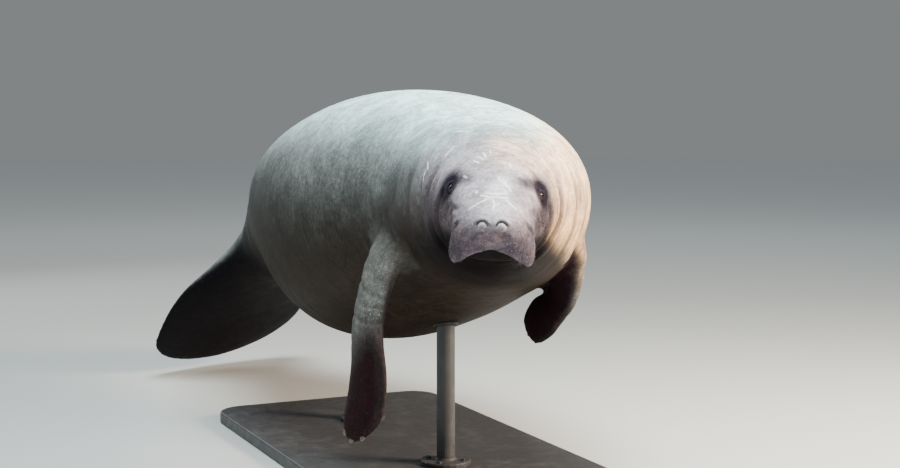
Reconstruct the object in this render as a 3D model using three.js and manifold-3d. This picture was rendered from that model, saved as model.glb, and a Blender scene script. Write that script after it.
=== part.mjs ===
// A West Indian manatee at life size, swimming with its head turned to its right and its tail bent
// down behind it, held over a flat display base by two rods.
// Units are millimetres with +Z up. The snout points towards -Y and the left side is +X.
// The origin is the centre of the base's underside.

import * as THREE from "three";
import { mergeVertices } from "three/addons/utils/BufferGeometryUtils.js";
import Module from "manifold-3d";

const wasm = await Module();
wasm.setup();

// Driving dimensions. A station is a distance along the spine, from the snout back to the tail's tip.
const BODY_LENGTH = 3190;
const TORSO_STATION = 1320; // the deepest part of the belly, which lies over the middle of the base
const TORSO_HEIGHT = 775; // of the spine at that station, over the floor
const TORSO_PITCH = 3; // degrees, snout up
const TORSO_ROLL = 6; // degrees, back leaning to the left
const GAP = 0.3; // between touching pieces

// Where the body is parted.
const MOUTH_CORNER = 126;
const NECK_START = 410;
const NECK_END = 590;
const TAIL_STOCK_START = 1960;
const PADDLE_START = 2430;

// The turns of the spine, each growing from one station to another, in degrees.
// Yaw turns the forward direction to the animal's right, pitch lifts it, and roll leans the back to the left.
const BENDS = [
  { name: "neck", from: 1110, to: 360, yaw: 25, pitch: 0, roll: 0 },
  { name: "snout", from: 315, to: 0, yaw: 6, pitch: -40, roll: -3 },
  { name: "loin", from: 1500, to: 2450, yaw: -5, pitch: 24, roll: -8 },
  { name: "paddle", from: 2300, to: 3000, yaw: -4, pitch: 18, roll: -6 },
];

// Sections of the body: station, half width, height above the spine, depth below it, and squareness,
// where 2 is an ellipse, more is boxier and less is lens shaped.
const SECTIONS = [
  [55, 85, 74, 91, 2.5],
  [95, 92, 82, 99, 2.4],
  [138, 101, 90, 105, 2.3],
  [190, 113, 101, 118, 2.2],
  [257, 138, 124, 148, 2.1],
  [333, 170, 149, 180, 2.1],
  [440, 212, 180, 214, 2.1],
  [600, 266, 220, 246, 2.1],
  [820, 326, 266, 294, 2.1],
  [1050, 374, 300, 364, 2.1],
  [1320, 394, 308, 424, 2.05],
  [1580, 372, 276, 430, 2.05],
  [1800, 322, 230, 380, 2.05],
  [2020, 256, 190, 286, 2.05],
  [2210, 200, 154, 202, 2],
  [2360, 170, 128, 142, 1.9],
  [2470, 178, 102, 106, 1.8],
  [2570, 222, 78, 76, 1.7],
  [2700, 294, 57, 54, 1.6],
  [2820, 326, 44, 41, 1.6],
  [2960, 336, 34, 32, 1.6],
];
const SNOUT_DOME = { depth: 55, bluntness: 2.5 };
const TAIL_DOME = { depth: 230, bluntness: 2.1 };

// Swells (+) and hollows (-) of the face: station, angle from the crown, reach and height.
// Those with an angle between 0 and 180 stand on both sides.
const FACE_SWELLS = [
  { name: "lip pad", at: 32, angle: 112, reach: 50, height: 8 },
  { name: "lip corner", at: 36, angle: 132, reach: 34, height: 15 },
  { name: "hollow beside the nostrils", at: 34, angle: 60, reach: 28, height: -3 },
  { name: "cheek", at: 222, angle: 104, reach: 70, height: 9 },
  { name: "crease behind the lip pad", at: 106, angle: 92, reach: 30, height: -4 },
  { name: "eye hollow", at: 166, angle: 60, reach: 32, height: -7 },
  { name: "hollow between the lip pads", at: 14, angle: 180, reach: 20, height: -6 },
];

// The mouth: the lip line, an arch across the snout below its axis, and the station where the chin starts,
// which is set back under the lips and rounds off there.
const MOUTH = { crest: -9, drop: 66, halfWidth: 84, opening: 5, chinStart: 32 };
const CHIN_DOME = { depth: 62, bluntness: 2.2 };

// The block under the lip line that parts the snout from the lower jaw: half its width, how deep it reaches,
// and how far it runs past the snout and past the mouth's corner.
const LIP_CUT = { halfWidth: 134, depth: 210, ahead: 40, behind: 20, step: 20 };

// The nostrils: a crescent slit over a round valve. The slit's span is in degrees.
const NOSTRIL = { station: 13, angle: 16, radius: 13, width: 5, span: 150, depth: 14 };
const VALVE = { radius: 20, rise: 3 };

// The eyes, each in a ring of lid folds.
const EYE = { station: 176, angle: 70, radius: 12, depth: 8, lidRadius: 12.5, lidThickness: 5 };

// The flippers: where the shoulder joins the body, and the line of the limb from inside the shoulder to
// the fingertips, as distances forwards, outwards and upwards of that joint. The blade angles, at the
// shoulder and the tip, turn the leading edge from forwards to outwards (+) or inwards (-), in degrees.
const SHOULDER_STATION = 640;
const FLIPPERS = [
  {
    name: "right",
    side: -1,
    shoulderAngle: 122,
    line: [
      [0, -120, 60],
      [5, -15, -10],
      [10, 20, -110],
      [20, 35, -220],
      [30, 24, -330],
      [35, 20, -420],
      [32, 28, -512],
    ],
    bladeAngles: [-12, -38],
  },
  {
    name: "left",
    side: 1,
    shoulderAngle: 112,
    line: [
      [20, -120, 40],
      [-10, -30, -5],
      [-45, -12, -65],
      [-90, -12, -125],
      [-140, -32, -178],
      [-188, -54, -220],
      [-232, -76, -252],
    ],
    bladeAngles: [0, 28],
  },
];
// Sections of a flipper: share of its length, half chord, half thickness, and how far the section is shifted
// towards the leading edge.
const FLIPPER_SECTIONS = [
  [0, 84, 62, 0],
  [0.15, 74, 50, 0],
  [0.3, 62, 39, 0],
  [0.45, 58, 33, 4],
  [0.6, 66, 26, 8],
  [0.75, 77, 20, 6],
  [0.88, 76, 15, -6],
  [1, 66, 11, -26],
];
// The tip: the share of the length that rounds off, and the share of its thickness that stays at the rim.
const FLIPPER_TIP = { depth: 0.15, bluntness: 2, rim: 0.35 };

// The nails: where they sit round the tip, in degrees from its middle towards the leading edge, half their
// length, width and thickness, and how far each is set in from the rim and raised to the back of the hand.
const NAIL_ANGLES = [-30, 2, 34];
const NAIL = { length: 9, width: 9, thickness: 2.8, setIn: 7, raised: 3.2 };

// The stand: a flat board with two rods, each on a flange.
const BOARD = { length: 1400, width: 780, height: 36, corner: 90, edge: 5 };
const ROD_STATIONS = { front: 1000, rear: 1640 };
const ROD = { radius: 26, flare: 6, flangeRadius: 72, flangeHeight: 12, flangeEdge: 3 };

// Mesh fineness.
const BODY_SIDES = 36;
const HEAD_SIDES = 48;
const FLIPPER_SIDES = 20;
const EYE_SIDES = 16;
const VALVE_SIDES = 16;
const NAIL_SIDES = 10;
const ROD_SIDES = 24;
const DOME_RINGS = 6;
const SNOUT_STEP = 14;
const HEAD_STEP = 20;
const NECK_STEP = 50;
const TORSO_STEP = 85;
const TAIL_STEP = 55;
const PADDLE_STEP = 50;
const FLIPPER_STEP = 0.07; // share of the length

const rad = THREE.MathUtils.degToRad;
const signedPower = (value, power) => Math.sign(value) * Math.abs(value) ** power;

// The frame of a heading: forward, left and up unit vectors.
function frameOf(yaw, pitch, roll) {
  const [y, p, r] = [rad(yaw), rad(pitch), rad(roll)];
  const forward = new THREE.Vector3(-Math.sin(y) * Math.cos(p), -Math.cos(y) * Math.cos(p), Math.sin(p));
  const left = new THREE.Vector3(Math.cos(y), -Math.sin(y), 0);
  const up = new THREE.Vector3().crossVectors(forward, left);
  const leanedUp = up.clone().multiplyScalar(Math.cos(r)).addScaledVector(left, Math.sin(r));
  const leanedLeft = left.multiplyScalar(Math.cos(r)).addScaledVector(up, -Math.sin(r));
  return { forward, left: leanedLeft, up: leanedUp };
}

// The spine's heading at a station, as a frame.
function headingAt(station) {
  let [yaw, pitch, roll] = [0, TORSO_PITCH, TORSO_ROLL];
  for (const bend of BENDS) {
    const along = (station - bend.from) / (bend.to - bend.from);
    const share = THREE.MathUtils.smoothstep(along, 0, 1);
    yaw += bend.yaw * share;
    pitch += bend.pitch * share;
    roll += bend.roll * share;
  }
  return frameOf(yaw, pitch, roll);
}

// Points along the spine, stepped out from the torso station both ways.
const SPINE_STEP = 10;
function walkSpine() {
  const points = [];
  const index = (station) => Math.round(station / SPINE_STEP);
  points[index(TORSO_STATION)] = new THREE.Vector3(0, 0, TORSO_HEIGHT);
  for (let i = index(TORSO_STATION); i > 0; i--) {
    const heading = headingAt((i - 0.5) * SPINE_STEP);
    points[i - 1] = points[i].clone().addScaledVector(heading.forward, SPINE_STEP);
  }
  for (let i = index(TORSO_STATION); i < index(BODY_LENGTH); i++) {
    const heading = headingAt((i + 0.5) * SPINE_STEP);
    points[i + 1] = points[i].clone().addScaledVector(heading.forward, -SPINE_STEP);
  }
  return points;
}
const SPINE = walkSpine();

// A point of the spine, also a little in front of the snout.
function spinePoint(station) {
  if (station < 0) return SPINE[0].clone().addScaledVector(headingAt(0).forward, -station);
  const place = Math.min(station / SPINE_STEP, SPINE.length - 1);
  const low = Math.min(Math.floor(place), SPINE.length - 2);
  return SPINE[low].clone().lerp(SPINE[low + 1], place - low);
}

// A smooth curve through the rows of a table, whose first column is where each row stands.
function tableCurve(rows) {
  const places = Float32Array.from(rows, (row) => row[0]);
  const values = Float32Array.from(rows.flatMap((row) => row.slice(1)));
  const curve = new THREE.CubicInterpolant(places, values, rows[0].length - 1);
  return (place) => [...curve.evaluate(THREE.MathUtils.clamp(place, places[0], places[places.length - 1]))];
}

// How far a section is drawn in at a distance from the tip of a dome.
function domeShare(inward, { depth, bluntness }) {
  const t = THREE.MathUtils.clamp(1 - inward / depth, 0, 1);
  return (1 - t ** bluntness) ** (1 / bluntness);
}

// A point of the skin before the face is shaped.
// The angle runs from the crown over the left side to the belly.
const bodySection = tableCurve(SECTIONS);
function plainSkin(station, angle) {
  const [halfWidth, above, below, squareness] = bodySection(station);
  const share = domeShare(station, SNOUT_DOME) * domeShare(BODY_LENGTH - station, TAIL_DOME);
  const { left, up } = headingAt(station);
  const rise = Math.cos(angle) > 0 ? above : below;
  return spinePoint(station)
    .addScaledVector(left, share * halfWidth * signedPower(Math.sin(angle), 2 / squareness))
    .addScaledVector(up, share * rise * signedPower(Math.cos(angle), 2 / squareness));
}

// The outward direction of the skin, from two short steps over it.
function skinNormal(station, angle) {
  const [step, turn] = [2, 0.03];
  const back = plainSkin(station + step, angle).sub(plainSkin(Math.max(station - step, 0), angle));
  const round = plainSkin(station, angle + turn).sub(plainSkin(station, angle - turn));
  return round.cross(back).normalize();
}

const swells = FACE_SWELLS.flatMap((swell) => {
  const sides = swell.angle > 0 && swell.angle < 180 ? [1, -1] : [1];
  return sides.map((side) => ({ ...swell, centre: plainSkin(swell.at, rad(side * swell.angle)) }));
});

// A point of the finished skin, lifted outwards by a clearance.
function skin(station, angle, lift = 0) {
  const point = plainSkin(station, angle);
  const rise = ({ centre, reach, height }) => height * Math.exp(-((point.distanceTo(centre) / reach) ** 2));
  const swell = swells.reduce((sum, each) => sum + rise(each), 0);
  return point.addScaledVector(skinNormal(station, angle), swell + lift);
}

// A closed solid over a list of rings, each a closed loop of points, with a tip or flat centre at either end.
function loft(rings, startTip, endTip) {
  const sides = rings[0].length;
  const points = [startTip, ...rings.flat(), endTip];
  const at = (ring, side) => 1 + ring * sides + (side % sides);
  const faces = [];
  for (let side = 0; side < sides; side++) {
    faces.push(0, at(0, side + 1), at(0, side));
    for (let ring = 0; ring < rings.length - 1; ring++) {
      const [a, b] = [at(ring, side), at(ring, side + 1)];
      const [c, d] = [at(ring + 1, side + 1), at(ring + 1, side)];
      faces.push(a, b, c, a, c, d);
    }
    faces.push(points.length - 1, at(rings.length - 1, side), at(rings.length - 1, side + 1));
  }
  const vertProperties = Float32Array.from(points.flatMap((p) => p.toArray()));
  return new wasm.Manifold(new wasm.Mesh({ numProp: 3, vertProperties, triVerts: Uint32Array.from(faces) }));
}

// Stations from one to another, about a step apart.
function stations(from, to, step) {
  const count = Math.ceil((to - from) / step);
  return Array.from({ length: count + 1 }, (_, i) => from + ((to - from) * i) / count);
}

// Distances from the tip of a dome to its rim, closer together towards the tip.
function domeSteps(depth, count) {
  return Array.from({ length: count }, (_, i) => depth * (1 - Math.cos(((i + 1) * Math.PI) / 2 / count)));
}

// A length of the body through a list of stations, closed by a flat end or the tip of a dome.
function bodyLength(at, sides, lift = 0) {
  const rings = at.map((station) => {
    return Array.from({ length: sides }, (_, i) => skin(station, (2 * Math.PI * i) / sides, lift));
  });
  const [first, last] = [at[0], at[at.length - 1]];
  const startTip = spinePoint(first < SNOUT_DOME.depth ? 0 : first);
  const endTip = spinePoint(last > BODY_LENGTH - TAIL_DOME.depth ? BODY_LENGTH : last);
  return loft(rings, startTip, endTip);
}

// A three.js geometry as a solid.
function solidOf(geometry, matrix = new THREE.Matrix4()) {
  const bare = new THREE.BufferGeometry().setAttribute("position", geometry.getAttribute("position"));
  if (geometry.index) bare.setIndex(geometry.index);
  const merged = mergeVertices(bare.applyMatrix4(matrix), 1e-3);
  const vertProperties = merged.getAttribute("position").array;
  const triVerts = new Uint32Array(merged.index.array);
  return new wasm.Manifold(new wasm.Mesh({ numProp: 3, vertProperties, triVerts }));
}

// A matrix that sets a shape at a point, its Z axis along one direction and its Y axis close to another.
function seat(point, outward, upward) {
  const z = outward.clone().normalize();
  const x = new THREE.Vector3().crossVectors(upward, z).normalize();
  const y = new THREE.Vector3().crossVectors(z, x);
  return new THREE.Matrix4().makeBasis(x, y, z).setPosition(point);
}

// The snout below the lip line, or below it by an offset.
function underLipLine(offset) {
  const across = stations(-LIP_CUT.halfWidth, LIP_CUT.halfWidth, LIP_CUT.step);
  const rings = stations(-LIP_CUT.ahead, MOUTH_CORNER + LIP_CUT.behind, LIP_CUT.step).map((station) => {
    const { left, up } = headingAt(Math.max(station, 0));
    const place = (x, y) => spinePoint(station).addScaledVector(left, x).addScaledVector(up, y);
    const edge = across.map((x) => place(x, MOUTH.crest - MOUTH.drop * (x / MOUTH.halfWidth) ** 2 + offset));
    return [...edge, ...across.map((x) => place(-x, -LIP_CUT.depth))];
  });
  const middle = (ring) => ring.reduce((sum, p) => sum.add(p), new THREE.Vector3()).divideScalar(ring.length);
  return loft(rings, middle(rings[0]), middle(rings[rings.length - 1]));
}

// The snout again, rounded off further back, whose part under the lip line is the lower jaw.
function chinSolid() {
  const { chinStart } = MOUTH;
  const rounded = domeSteps(CHIN_DOME.depth, DOME_RINGS).map((step) => chinStart + step);
  const straight = stations(chinStart + CHIN_DOME.depth, MOUTH_CORNER, SNOUT_STEP).slice(1);
  const rings = [...rounded, ...straight].map((station) => {
    const share = domeShare(station - chinStart, CHIN_DOME);
    return Array.from({ length: HEAD_SIDES }, (_, i) => {
      return spinePoint(station).lerp(skin(station, (2 * Math.PI * i) / HEAD_SIDES), share);
    });
  });
  return loft(rings, spinePoint(chinStart), spinePoint(MOUTH_CORNER));
}

// A nostril's slit, and the round valve under it.
function nostrilSlit(side) {
  const { station, radius, width, span, depth } = NOSTRIL;
  const [start, end] = [rad(90 - span / 2), rad(90 + span / 2)];
  const crescent = new THREE.Shape();
  crescent.absarc(0, 0, radius + width / 2, start, end, false);
  crescent.absarc(0, 0, radius - width / 2, end, start, true);
  const through = { depth: depth * 2, bevelEnabled: false, curveSegments: 10 };
  const prism = new THREE.ExtrudeGeometry(crescent, through);
  const angle = rad(side * NOSTRIL.angle);
  const normal = skinNormal(station, angle);
  return solidOf(prism, seat(skin(station, angle, -depth), normal, headingAt(station).up));
}
function nostrilValve(side) {
  const centre = skin(NOSTRIL.station, rad(side * NOSTRIL.angle), VALVE.rise - VALVE.radius);
  return ball(centre, VALVE.radius, VALVE_SIDES);
}

function ball(centre, radius, sides) {
  const sphere = new THREE.SphereGeometry(radius, sides, Math.round(sides * 0.7));
  return solidOf(sphere, new THREE.Matrix4().setPosition(centre));
}

// An eyeball, a little under the skin, and the ring of its lids.
function eyeSolid(side, clearance = 0) {
  return ball(skin(EYE.station, rad(side * EYE.angle), -EYE.depth), EYE.radius + clearance, EYE_SIDES);
}
function lidRing(side) {
  const angle = rad(side * EYE.angle);
  const ring = new THREE.TorusGeometry(EYE.lidRadius, EYE.lidThickness, 7, 16);
  const outward = skinNormal(EYE.station, angle);
  return solidOf(ring, seat(skin(EYE.station, angle), outward, headingAt(EYE.station).up));
}

// The place and directions of a flipper at a share of its length.
function flipperFrame({ side, shoulderAngle, line, bladeAngles }) {
  const { forward, left, up } = headingAt(SHOULDER_STATION);
  const out = left.clone().multiplyScalar(side);
  const joint = skin(SHOULDER_STATION, rad(side * shoulderAngle));
  const place = ([ahead, outward, upward]) => {
    const point = joint.clone().addScaledVector(forward, ahead);
    return point.addScaledVector(out, outward).addScaledVector(up, upward);
  };
  const curve = new THREE.CatmullRomCurve3(line.map(place));
  return (share) => {
    const tangent = curve.getTangentAt(share);
    const lead = forward.clone().addScaledVector(tangent, -forward.dot(tangent)).normalize();
    lead.applyAxisAngle(tangent, rad(THREE.MathUtils.lerp(...bladeAngles, share)) * -side);
    const back = new THREE.Vector3().crossVectors(tangent, lead).multiplyScalar(-side);
    return { centre: curve.getPointAt(share), tangent, lead, back };
  };
}

// A flipper lofted from inside the shoulder to the fingertips.
const flipperSection = tableCurve(FLIPPER_SECTIONS);
function flipperSolid(flipper) {
  const frameAt = flipperFrame(flipper);
  const tipShares = domeSteps(FLIPPER_TIP.depth, DOME_RINGS).map((step) => 1 - step);
  const shares = [...stations(0, 1 - FLIPPER_TIP.depth, FLIPPER_STEP), ...tipShares.reverse().slice(1)];
  const rings = shares.map((share) => {
    const { centre, lead, back } = frameAt(share);
    const [halfChord, halfThickness, shift] = flipperSection(share);
    const roundOff = domeShare(1 - share, FLIPPER_TIP);
    const thickness = halfThickness * THREE.MathUtils.lerp(FLIPPER_TIP.rim, 1, roundOff);
    return Array.from({ length: FLIPPER_SIDES }, (_, i) => {
      const angle = (flipper.side * 2 * Math.PI * i) / FLIPPER_SIDES;
      return centre
        .clone()
        .addScaledVector(lead, shift + halfChord * roundOff * Math.sin(angle))
        .addScaledVector(back, thickness * Math.cos(angle));
    });
  });
  const tip = frameAt(1);
  return loft(rings, frameAt(0).centre, tip.centre.addScaledVector(tip.lead, flipperSection(1)[2]));
}

// A nail on the rim of a flipper's tip, at an angle from its middle towards the leading edge.
function nailSolid(flipper, angle, clearance = 0) {
  const share = 1 - FLIPPER_TIP.depth * (1 - Math.cos(angle));
  const { centre, tangent, lead, back } = flipperFrame(flipper)(share);
  const [halfChord, , shift] = flipperSection(share);
  const outward = tangent.clone().multiplyScalar(Math.cos(angle)).addScaledVector(lead, Math.sin(angle));
  const place = centre
    .addScaledVector(lead, shift + halfChord * Math.sin(angle))
    .addScaledVector(outward, -NAIL.setIn)
    .addScaledVector(back, NAIL.raised);
  const plate = new THREE.SphereGeometry(1, NAIL_SIDES, 7);
  plate.scale(NAIL.width + clearance, NAIL.thickness + clearance, NAIL.length + clearance);
  return solidOf(plate, seat(place, outward, back));
}

// The stand's board, with rounded corners and edges.
function boardSolid() {
  const { length, width, height, corner, edge } = BOARD;
  const [halfWidth, halfLength] = [width / 2 - edge, length / 2 - edge];
  const outline = new THREE.Shape();
  outline.absarc(halfWidth - corner, halfLength - corner, corner, 0, rad(90), false);
  outline.absarc(corner - halfWidth, halfLength - corner, corner, rad(90), rad(180), false);
  outline.absarc(corner - halfWidth, corner - halfLength, corner, rad(180), rad(270), false);
  outline.absarc(halfWidth - corner, corner - halfLength, corner, rad(270), rad(360), false);
  const bevel = { bevelEnabled: true, bevelSize: edge, bevelThickness: edge, bevelSegments: 2 };
  const slab = new THREE.ExtrudeGeometry(outline, { depth: height - 2 * edge, curveSegments: 5, ...bevel });
  return solidOf(slab, new THREE.Matrix4().makeTranslation(0, 0, edge));
}

// A rod on its flange, from the board up into the belly under a station.
function rodSolid(station) {
  const foot = spinePoint(station);
  const height = foot.z - BOARD.height;
  const { radius, flare, flangeRadius, flangeHeight, flangeEdge } = ROD;
  const profile = [
    [0, GAP],
    [flangeRadius, GAP],
    [flangeRadius, flangeHeight - flangeEdge],
    [flangeRadius - flangeEdge, flangeHeight],
    [radius + flare, flangeHeight],
    [radius, flangeHeight + flare],
    [radius, height],
    [0, height],
  ];
  const turned = new THREE.LatheGeometry(profile.map(([r, y]) => new THREE.Vector2(r, y)), ROD_SIDES);
  return solidOf(turned.rotateX(rad(90)), new THREE.Matrix4().makeTranslation(foot.x, foot.y, BOARD.height));
}

const part = new THREE.Group();
const hide = new THREE.MeshStandardMaterial({ color: 0x8e8a86, roughness: 0.62, metalness: 0 });
const darkHide = new THREE.MeshStandardMaterial({ color: 0x4b4043, roughness: 0.6, metalness: 0 });
const eyeball = new THREE.MeshStandardMaterial({ color: 0x14100f, roughness: 0.08, metalness: 0 });
const nailHorn = new THREE.MeshStandardMaterial({ color: 0xa79f93, roughness: 0.45, metalness: 0 });
const standPaint = new THREE.MeshStandardMaterial({ color: 0x2b2d30, roughness: 0.45, metalness: 0.1 });

// Adds a node that keeps its solid's largest closed surface.
function add(name, solid, material) {
  const largest = solid.decompose().reduce((best, body) => (body.volume() > best.volume() ? body : best));
  const mesh = largest.getMesh();
  const positions = new Float32Array(mesh.numVert * 3);
  for (let i = 0; i < mesh.numVert; i++) {
    positions.set(mesh.vertProperties.subarray(i * mesh.numProp, i * mesh.numProp + 3), i * 3);
  }
  const geometry = new THREE.BufferGeometry();
  geometry.setAttribute("position", new THREE.BufferAttribute(positions, 3));
  geometry.setIndex(new THREE.BufferAttribute(mesh.triVerts, 1));
  geometry.computeVertexNormals();
  const piece = new THREE.Mesh(geometry, material);
  piece.name = name;
  part.add(piece);
}

// The snout with its upper lips and nostrils, and the lower jaw under it.
const snoutStations = [
  ...domeSteps(SNOUT_DOME.depth, DOME_RINGS + 1),
  ...stations(SNOUT_DOME.depth, MOUTH_CORNER, SNOUT_STEP).slice(1),
];
const wholeSnout = bodyLength(snoutStations, HEAD_SIDES);
let snout = wholeSnout.subtract(underLipLine(MOUTH.opening / 2));
for (const side of [1, -1]) {
  snout = snout.add(nostrilValve(side)).subtract(nostrilSlit(side));
}
add("snout", snout, hide);
add("lower_jaw", chinSolid().intersect(underLipLine(-MOUTH.opening / 2)), darkHide);

// The head with its lids, and the eyes.
let head = bodyLength(stations(MOUTH_CORNER + GAP, NECK_START, HEAD_STEP), HEAD_SIDES);
for (const [name, side] of [["eye_left", 1], ["eye_right", -1]]) {
  head = head.add(lidRing(side)).subtract(eyeSolid(side, GAP));
  add(name, eyeSolid(side), eyeball);
}
add("head", head, hide);

// The neck, torso and tail.
const neckStations = stations(NECK_START + GAP, NECK_END, NECK_STEP);
const torsoStations = stations(NECK_END + GAP, TAIL_STOCK_START, TORSO_STEP);
const tailStockStations = stations(TAIL_STOCK_START + GAP, PADDLE_START, TAIL_STEP);
add("neck", bodyLength(neckStations, BODY_SIDES), hide);
add("torso", bodyLength(torsoStations, BODY_SIDES), hide);
add("tail_stock", bodyLength(tailStockStations, BODY_SIDES), hide);
const tailTip = domeSteps(TAIL_DOME.depth, DOME_RINGS).map((step) => BODY_LENGTH - step);
const paddleStations = [
  ...stations(PADDLE_START + GAP, BODY_LENGTH - TAIL_DOME.depth, PADDLE_STEP),
  ...tailTip.reverse().slice(1),
];
add("tail_paddle", bodyLength(paddleStations, BODY_SIDES), darkHide);

// The flippers, parted from the body where they leave it, and their nails.
const trunk = bodyLength([...neckStations, ...torsoStations], BODY_SIDES, GAP);
for (const flipper of FLIPPERS) {
  let blade = flipperSolid(flipper).subtract(trunk);
  NAIL_ANGLES.forEach((angle, i) => {
    blade = blade.subtract(nailSolid(flipper, rad(angle), GAP));
    add(`nail_${flipper.name}_${i + 1}`, nailSolid(flipper, rad(angle)), nailHorn);
  });
  add(`flipper_${flipper.name}`, blade, hide);
}

// The stand.
add("stand_base", boardSolid(), standPaint);
for (const [name, station] of Object.entries(ROD_STATIONS)) {
  add(`stand_rod_${name}`, rodSolid(station).subtract(trunk), standPaint);
}

export default part;
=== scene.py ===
"""A West Indian manatee at life size, swimming with its head turned aside, on a plain display stand.

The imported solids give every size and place. One skin with folds, lids, lips and nostrils replaces the
solids of flesh. The eyes, nails and stand are separate pieces, and short bristles stand on the muzzle.
Lengths are metres, +Z is up, the snout points towards -Y and the animal's left side is +X.
"""

import logging
import math
from dataclasses import dataclass, field
from enum import Enum

import bpy
import numpy as np
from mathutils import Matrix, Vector


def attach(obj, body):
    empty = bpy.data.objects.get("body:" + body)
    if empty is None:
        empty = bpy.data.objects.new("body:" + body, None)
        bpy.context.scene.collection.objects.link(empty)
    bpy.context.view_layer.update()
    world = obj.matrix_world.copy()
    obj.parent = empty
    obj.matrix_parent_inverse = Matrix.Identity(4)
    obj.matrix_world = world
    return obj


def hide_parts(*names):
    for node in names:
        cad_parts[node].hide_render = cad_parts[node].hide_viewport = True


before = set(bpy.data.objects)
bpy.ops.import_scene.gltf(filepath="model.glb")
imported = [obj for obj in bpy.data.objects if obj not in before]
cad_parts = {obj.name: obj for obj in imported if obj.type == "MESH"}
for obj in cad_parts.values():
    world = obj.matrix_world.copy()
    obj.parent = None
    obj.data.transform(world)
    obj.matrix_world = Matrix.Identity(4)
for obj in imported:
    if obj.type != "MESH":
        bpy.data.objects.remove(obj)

Piece = bpy.types.Object
Socket = bpy.types.NodeSocket
Material = bpy.types.Material

log = logging.getLogger("manatee")
ROOT = "root"

BODY_LENGTH = 3.19
MOUTH_CORNER = 0.126
SHOULDER_STATION = 0.64
BASE_THICKNESS = 0.036


def smoothstep(value: np.ndarray, low: float = 0.0, high: float = 1.0) -> np.ndarray:
    """An even S-shaped rise from 0 at low to 1 at high, also where high is below low.

    Args:
        value: The values to map.
        low: Where the rise starts.
        high: Where it ends.

    Returns:
        The shares, from 0 to 1.
    """
    t = np.clip((np.asarray(value, float) - low) / (high - low), 0.0, 1.0)
    return t * t * (3.0 - 2.0 * t)


def signed_power(value: np.ndarray, power: np.ndarray) -> np.ndarray:
    """A power that keeps the sign of its base."""
    return np.sign(value) * np.abs(value) ** power


def unit(vectors: np.ndarray) -> np.ndarray:
    """The vectors at length one."""
    return vectors / np.maximum(np.linalg.norm(vectors, axis=-1, keepdims=True), 1e-12)


def dots(a: np.ndarray, b: np.ndarray) -> np.ndarray:
    """The dot products of two arrays of vectors."""
    return np.sum(a * b, axis=-1)


class Side(Enum):
    """A side of the animal, as the sign of its X."""

    LEFT = 1
    RIGHT = -1

    @property
    def word(self) -> str:
        """The side's name as the solids use it."""
        return self.name.lower()


class TableCurve:
    """A smooth curve through the rows of a table, whose first column is where each row stands."""

    def __init__(self, rows: list[tuple[float, ...]]) -> None:
        """Works out the slopes at the rows.

        Args:
            rows: The table, in rising order of its first column.
        """
        table = np.array(rows, float)
        self.places = table[:, 0]
        self.values = table[:, 1:]
        secants = np.diff(self.values, axis=0) / np.diff(self.places)[:, None]
        self.slopes = np.zeros_like(self.values)
        self.slopes[1:-1] = (secants[1:] + secants[:-1]) / 2

    def __call__(self, place: np.ndarray) -> np.ndarray:
        """The row at each place.

        Args:
            place: Places along the first column.

        Returns:
            The other columns, on a last axis of their own.
        """
        place = np.clip(np.asarray(place, float), self.places[0], self.places[-1])
        i = np.clip(np.searchsorted(self.places, place, side="right") - 1, 0, len(self.places) - 2)
        gap = (self.places[i + 1] - self.places[i])[..., None]
        t = (place - self.places[i])[..., None] / gap
        start, end = self.values[i], self.values[i + 1]
        first, last = self.slopes[i] * gap, self.slopes[i + 1] * gap
        rise = start * (2 * t**3 - 3 * t**2 + 1) + end * (3 * t**2 - 2 * t**3)
        return rise + first * (t**3 - 2 * t**2 + t) + last * (t**3 - t**2)


@dataclass(frozen=True)
class Dome:
    """How a solid of rings rounds off to its tip."""

    depth: float
    bluntness: float

    def share(self, inward: np.ndarray) -> np.ndarray:
        """How far a ring is drawn in, at a distance from the tip."""
        t = np.clip(1 - np.asarray(inward, float) / self.depth, 0, 1)
        return (1 - t**self.bluntness) ** (1 / self.bluntness)

    def steps(self, count: int) -> np.ndarray:
        """Distances from the tip to the rim, closer together towards the tip."""
        return self.depth * (1 - np.cos(np.arange(1, count + 1) * math.pi / 2 / count))


@dataclass(frozen=True)
class Bend:
    """A turn of the spine that grows from one station to another, in degrees."""

    start: float
    end: float
    yaw: float
    pitch: float
    roll: float


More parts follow.
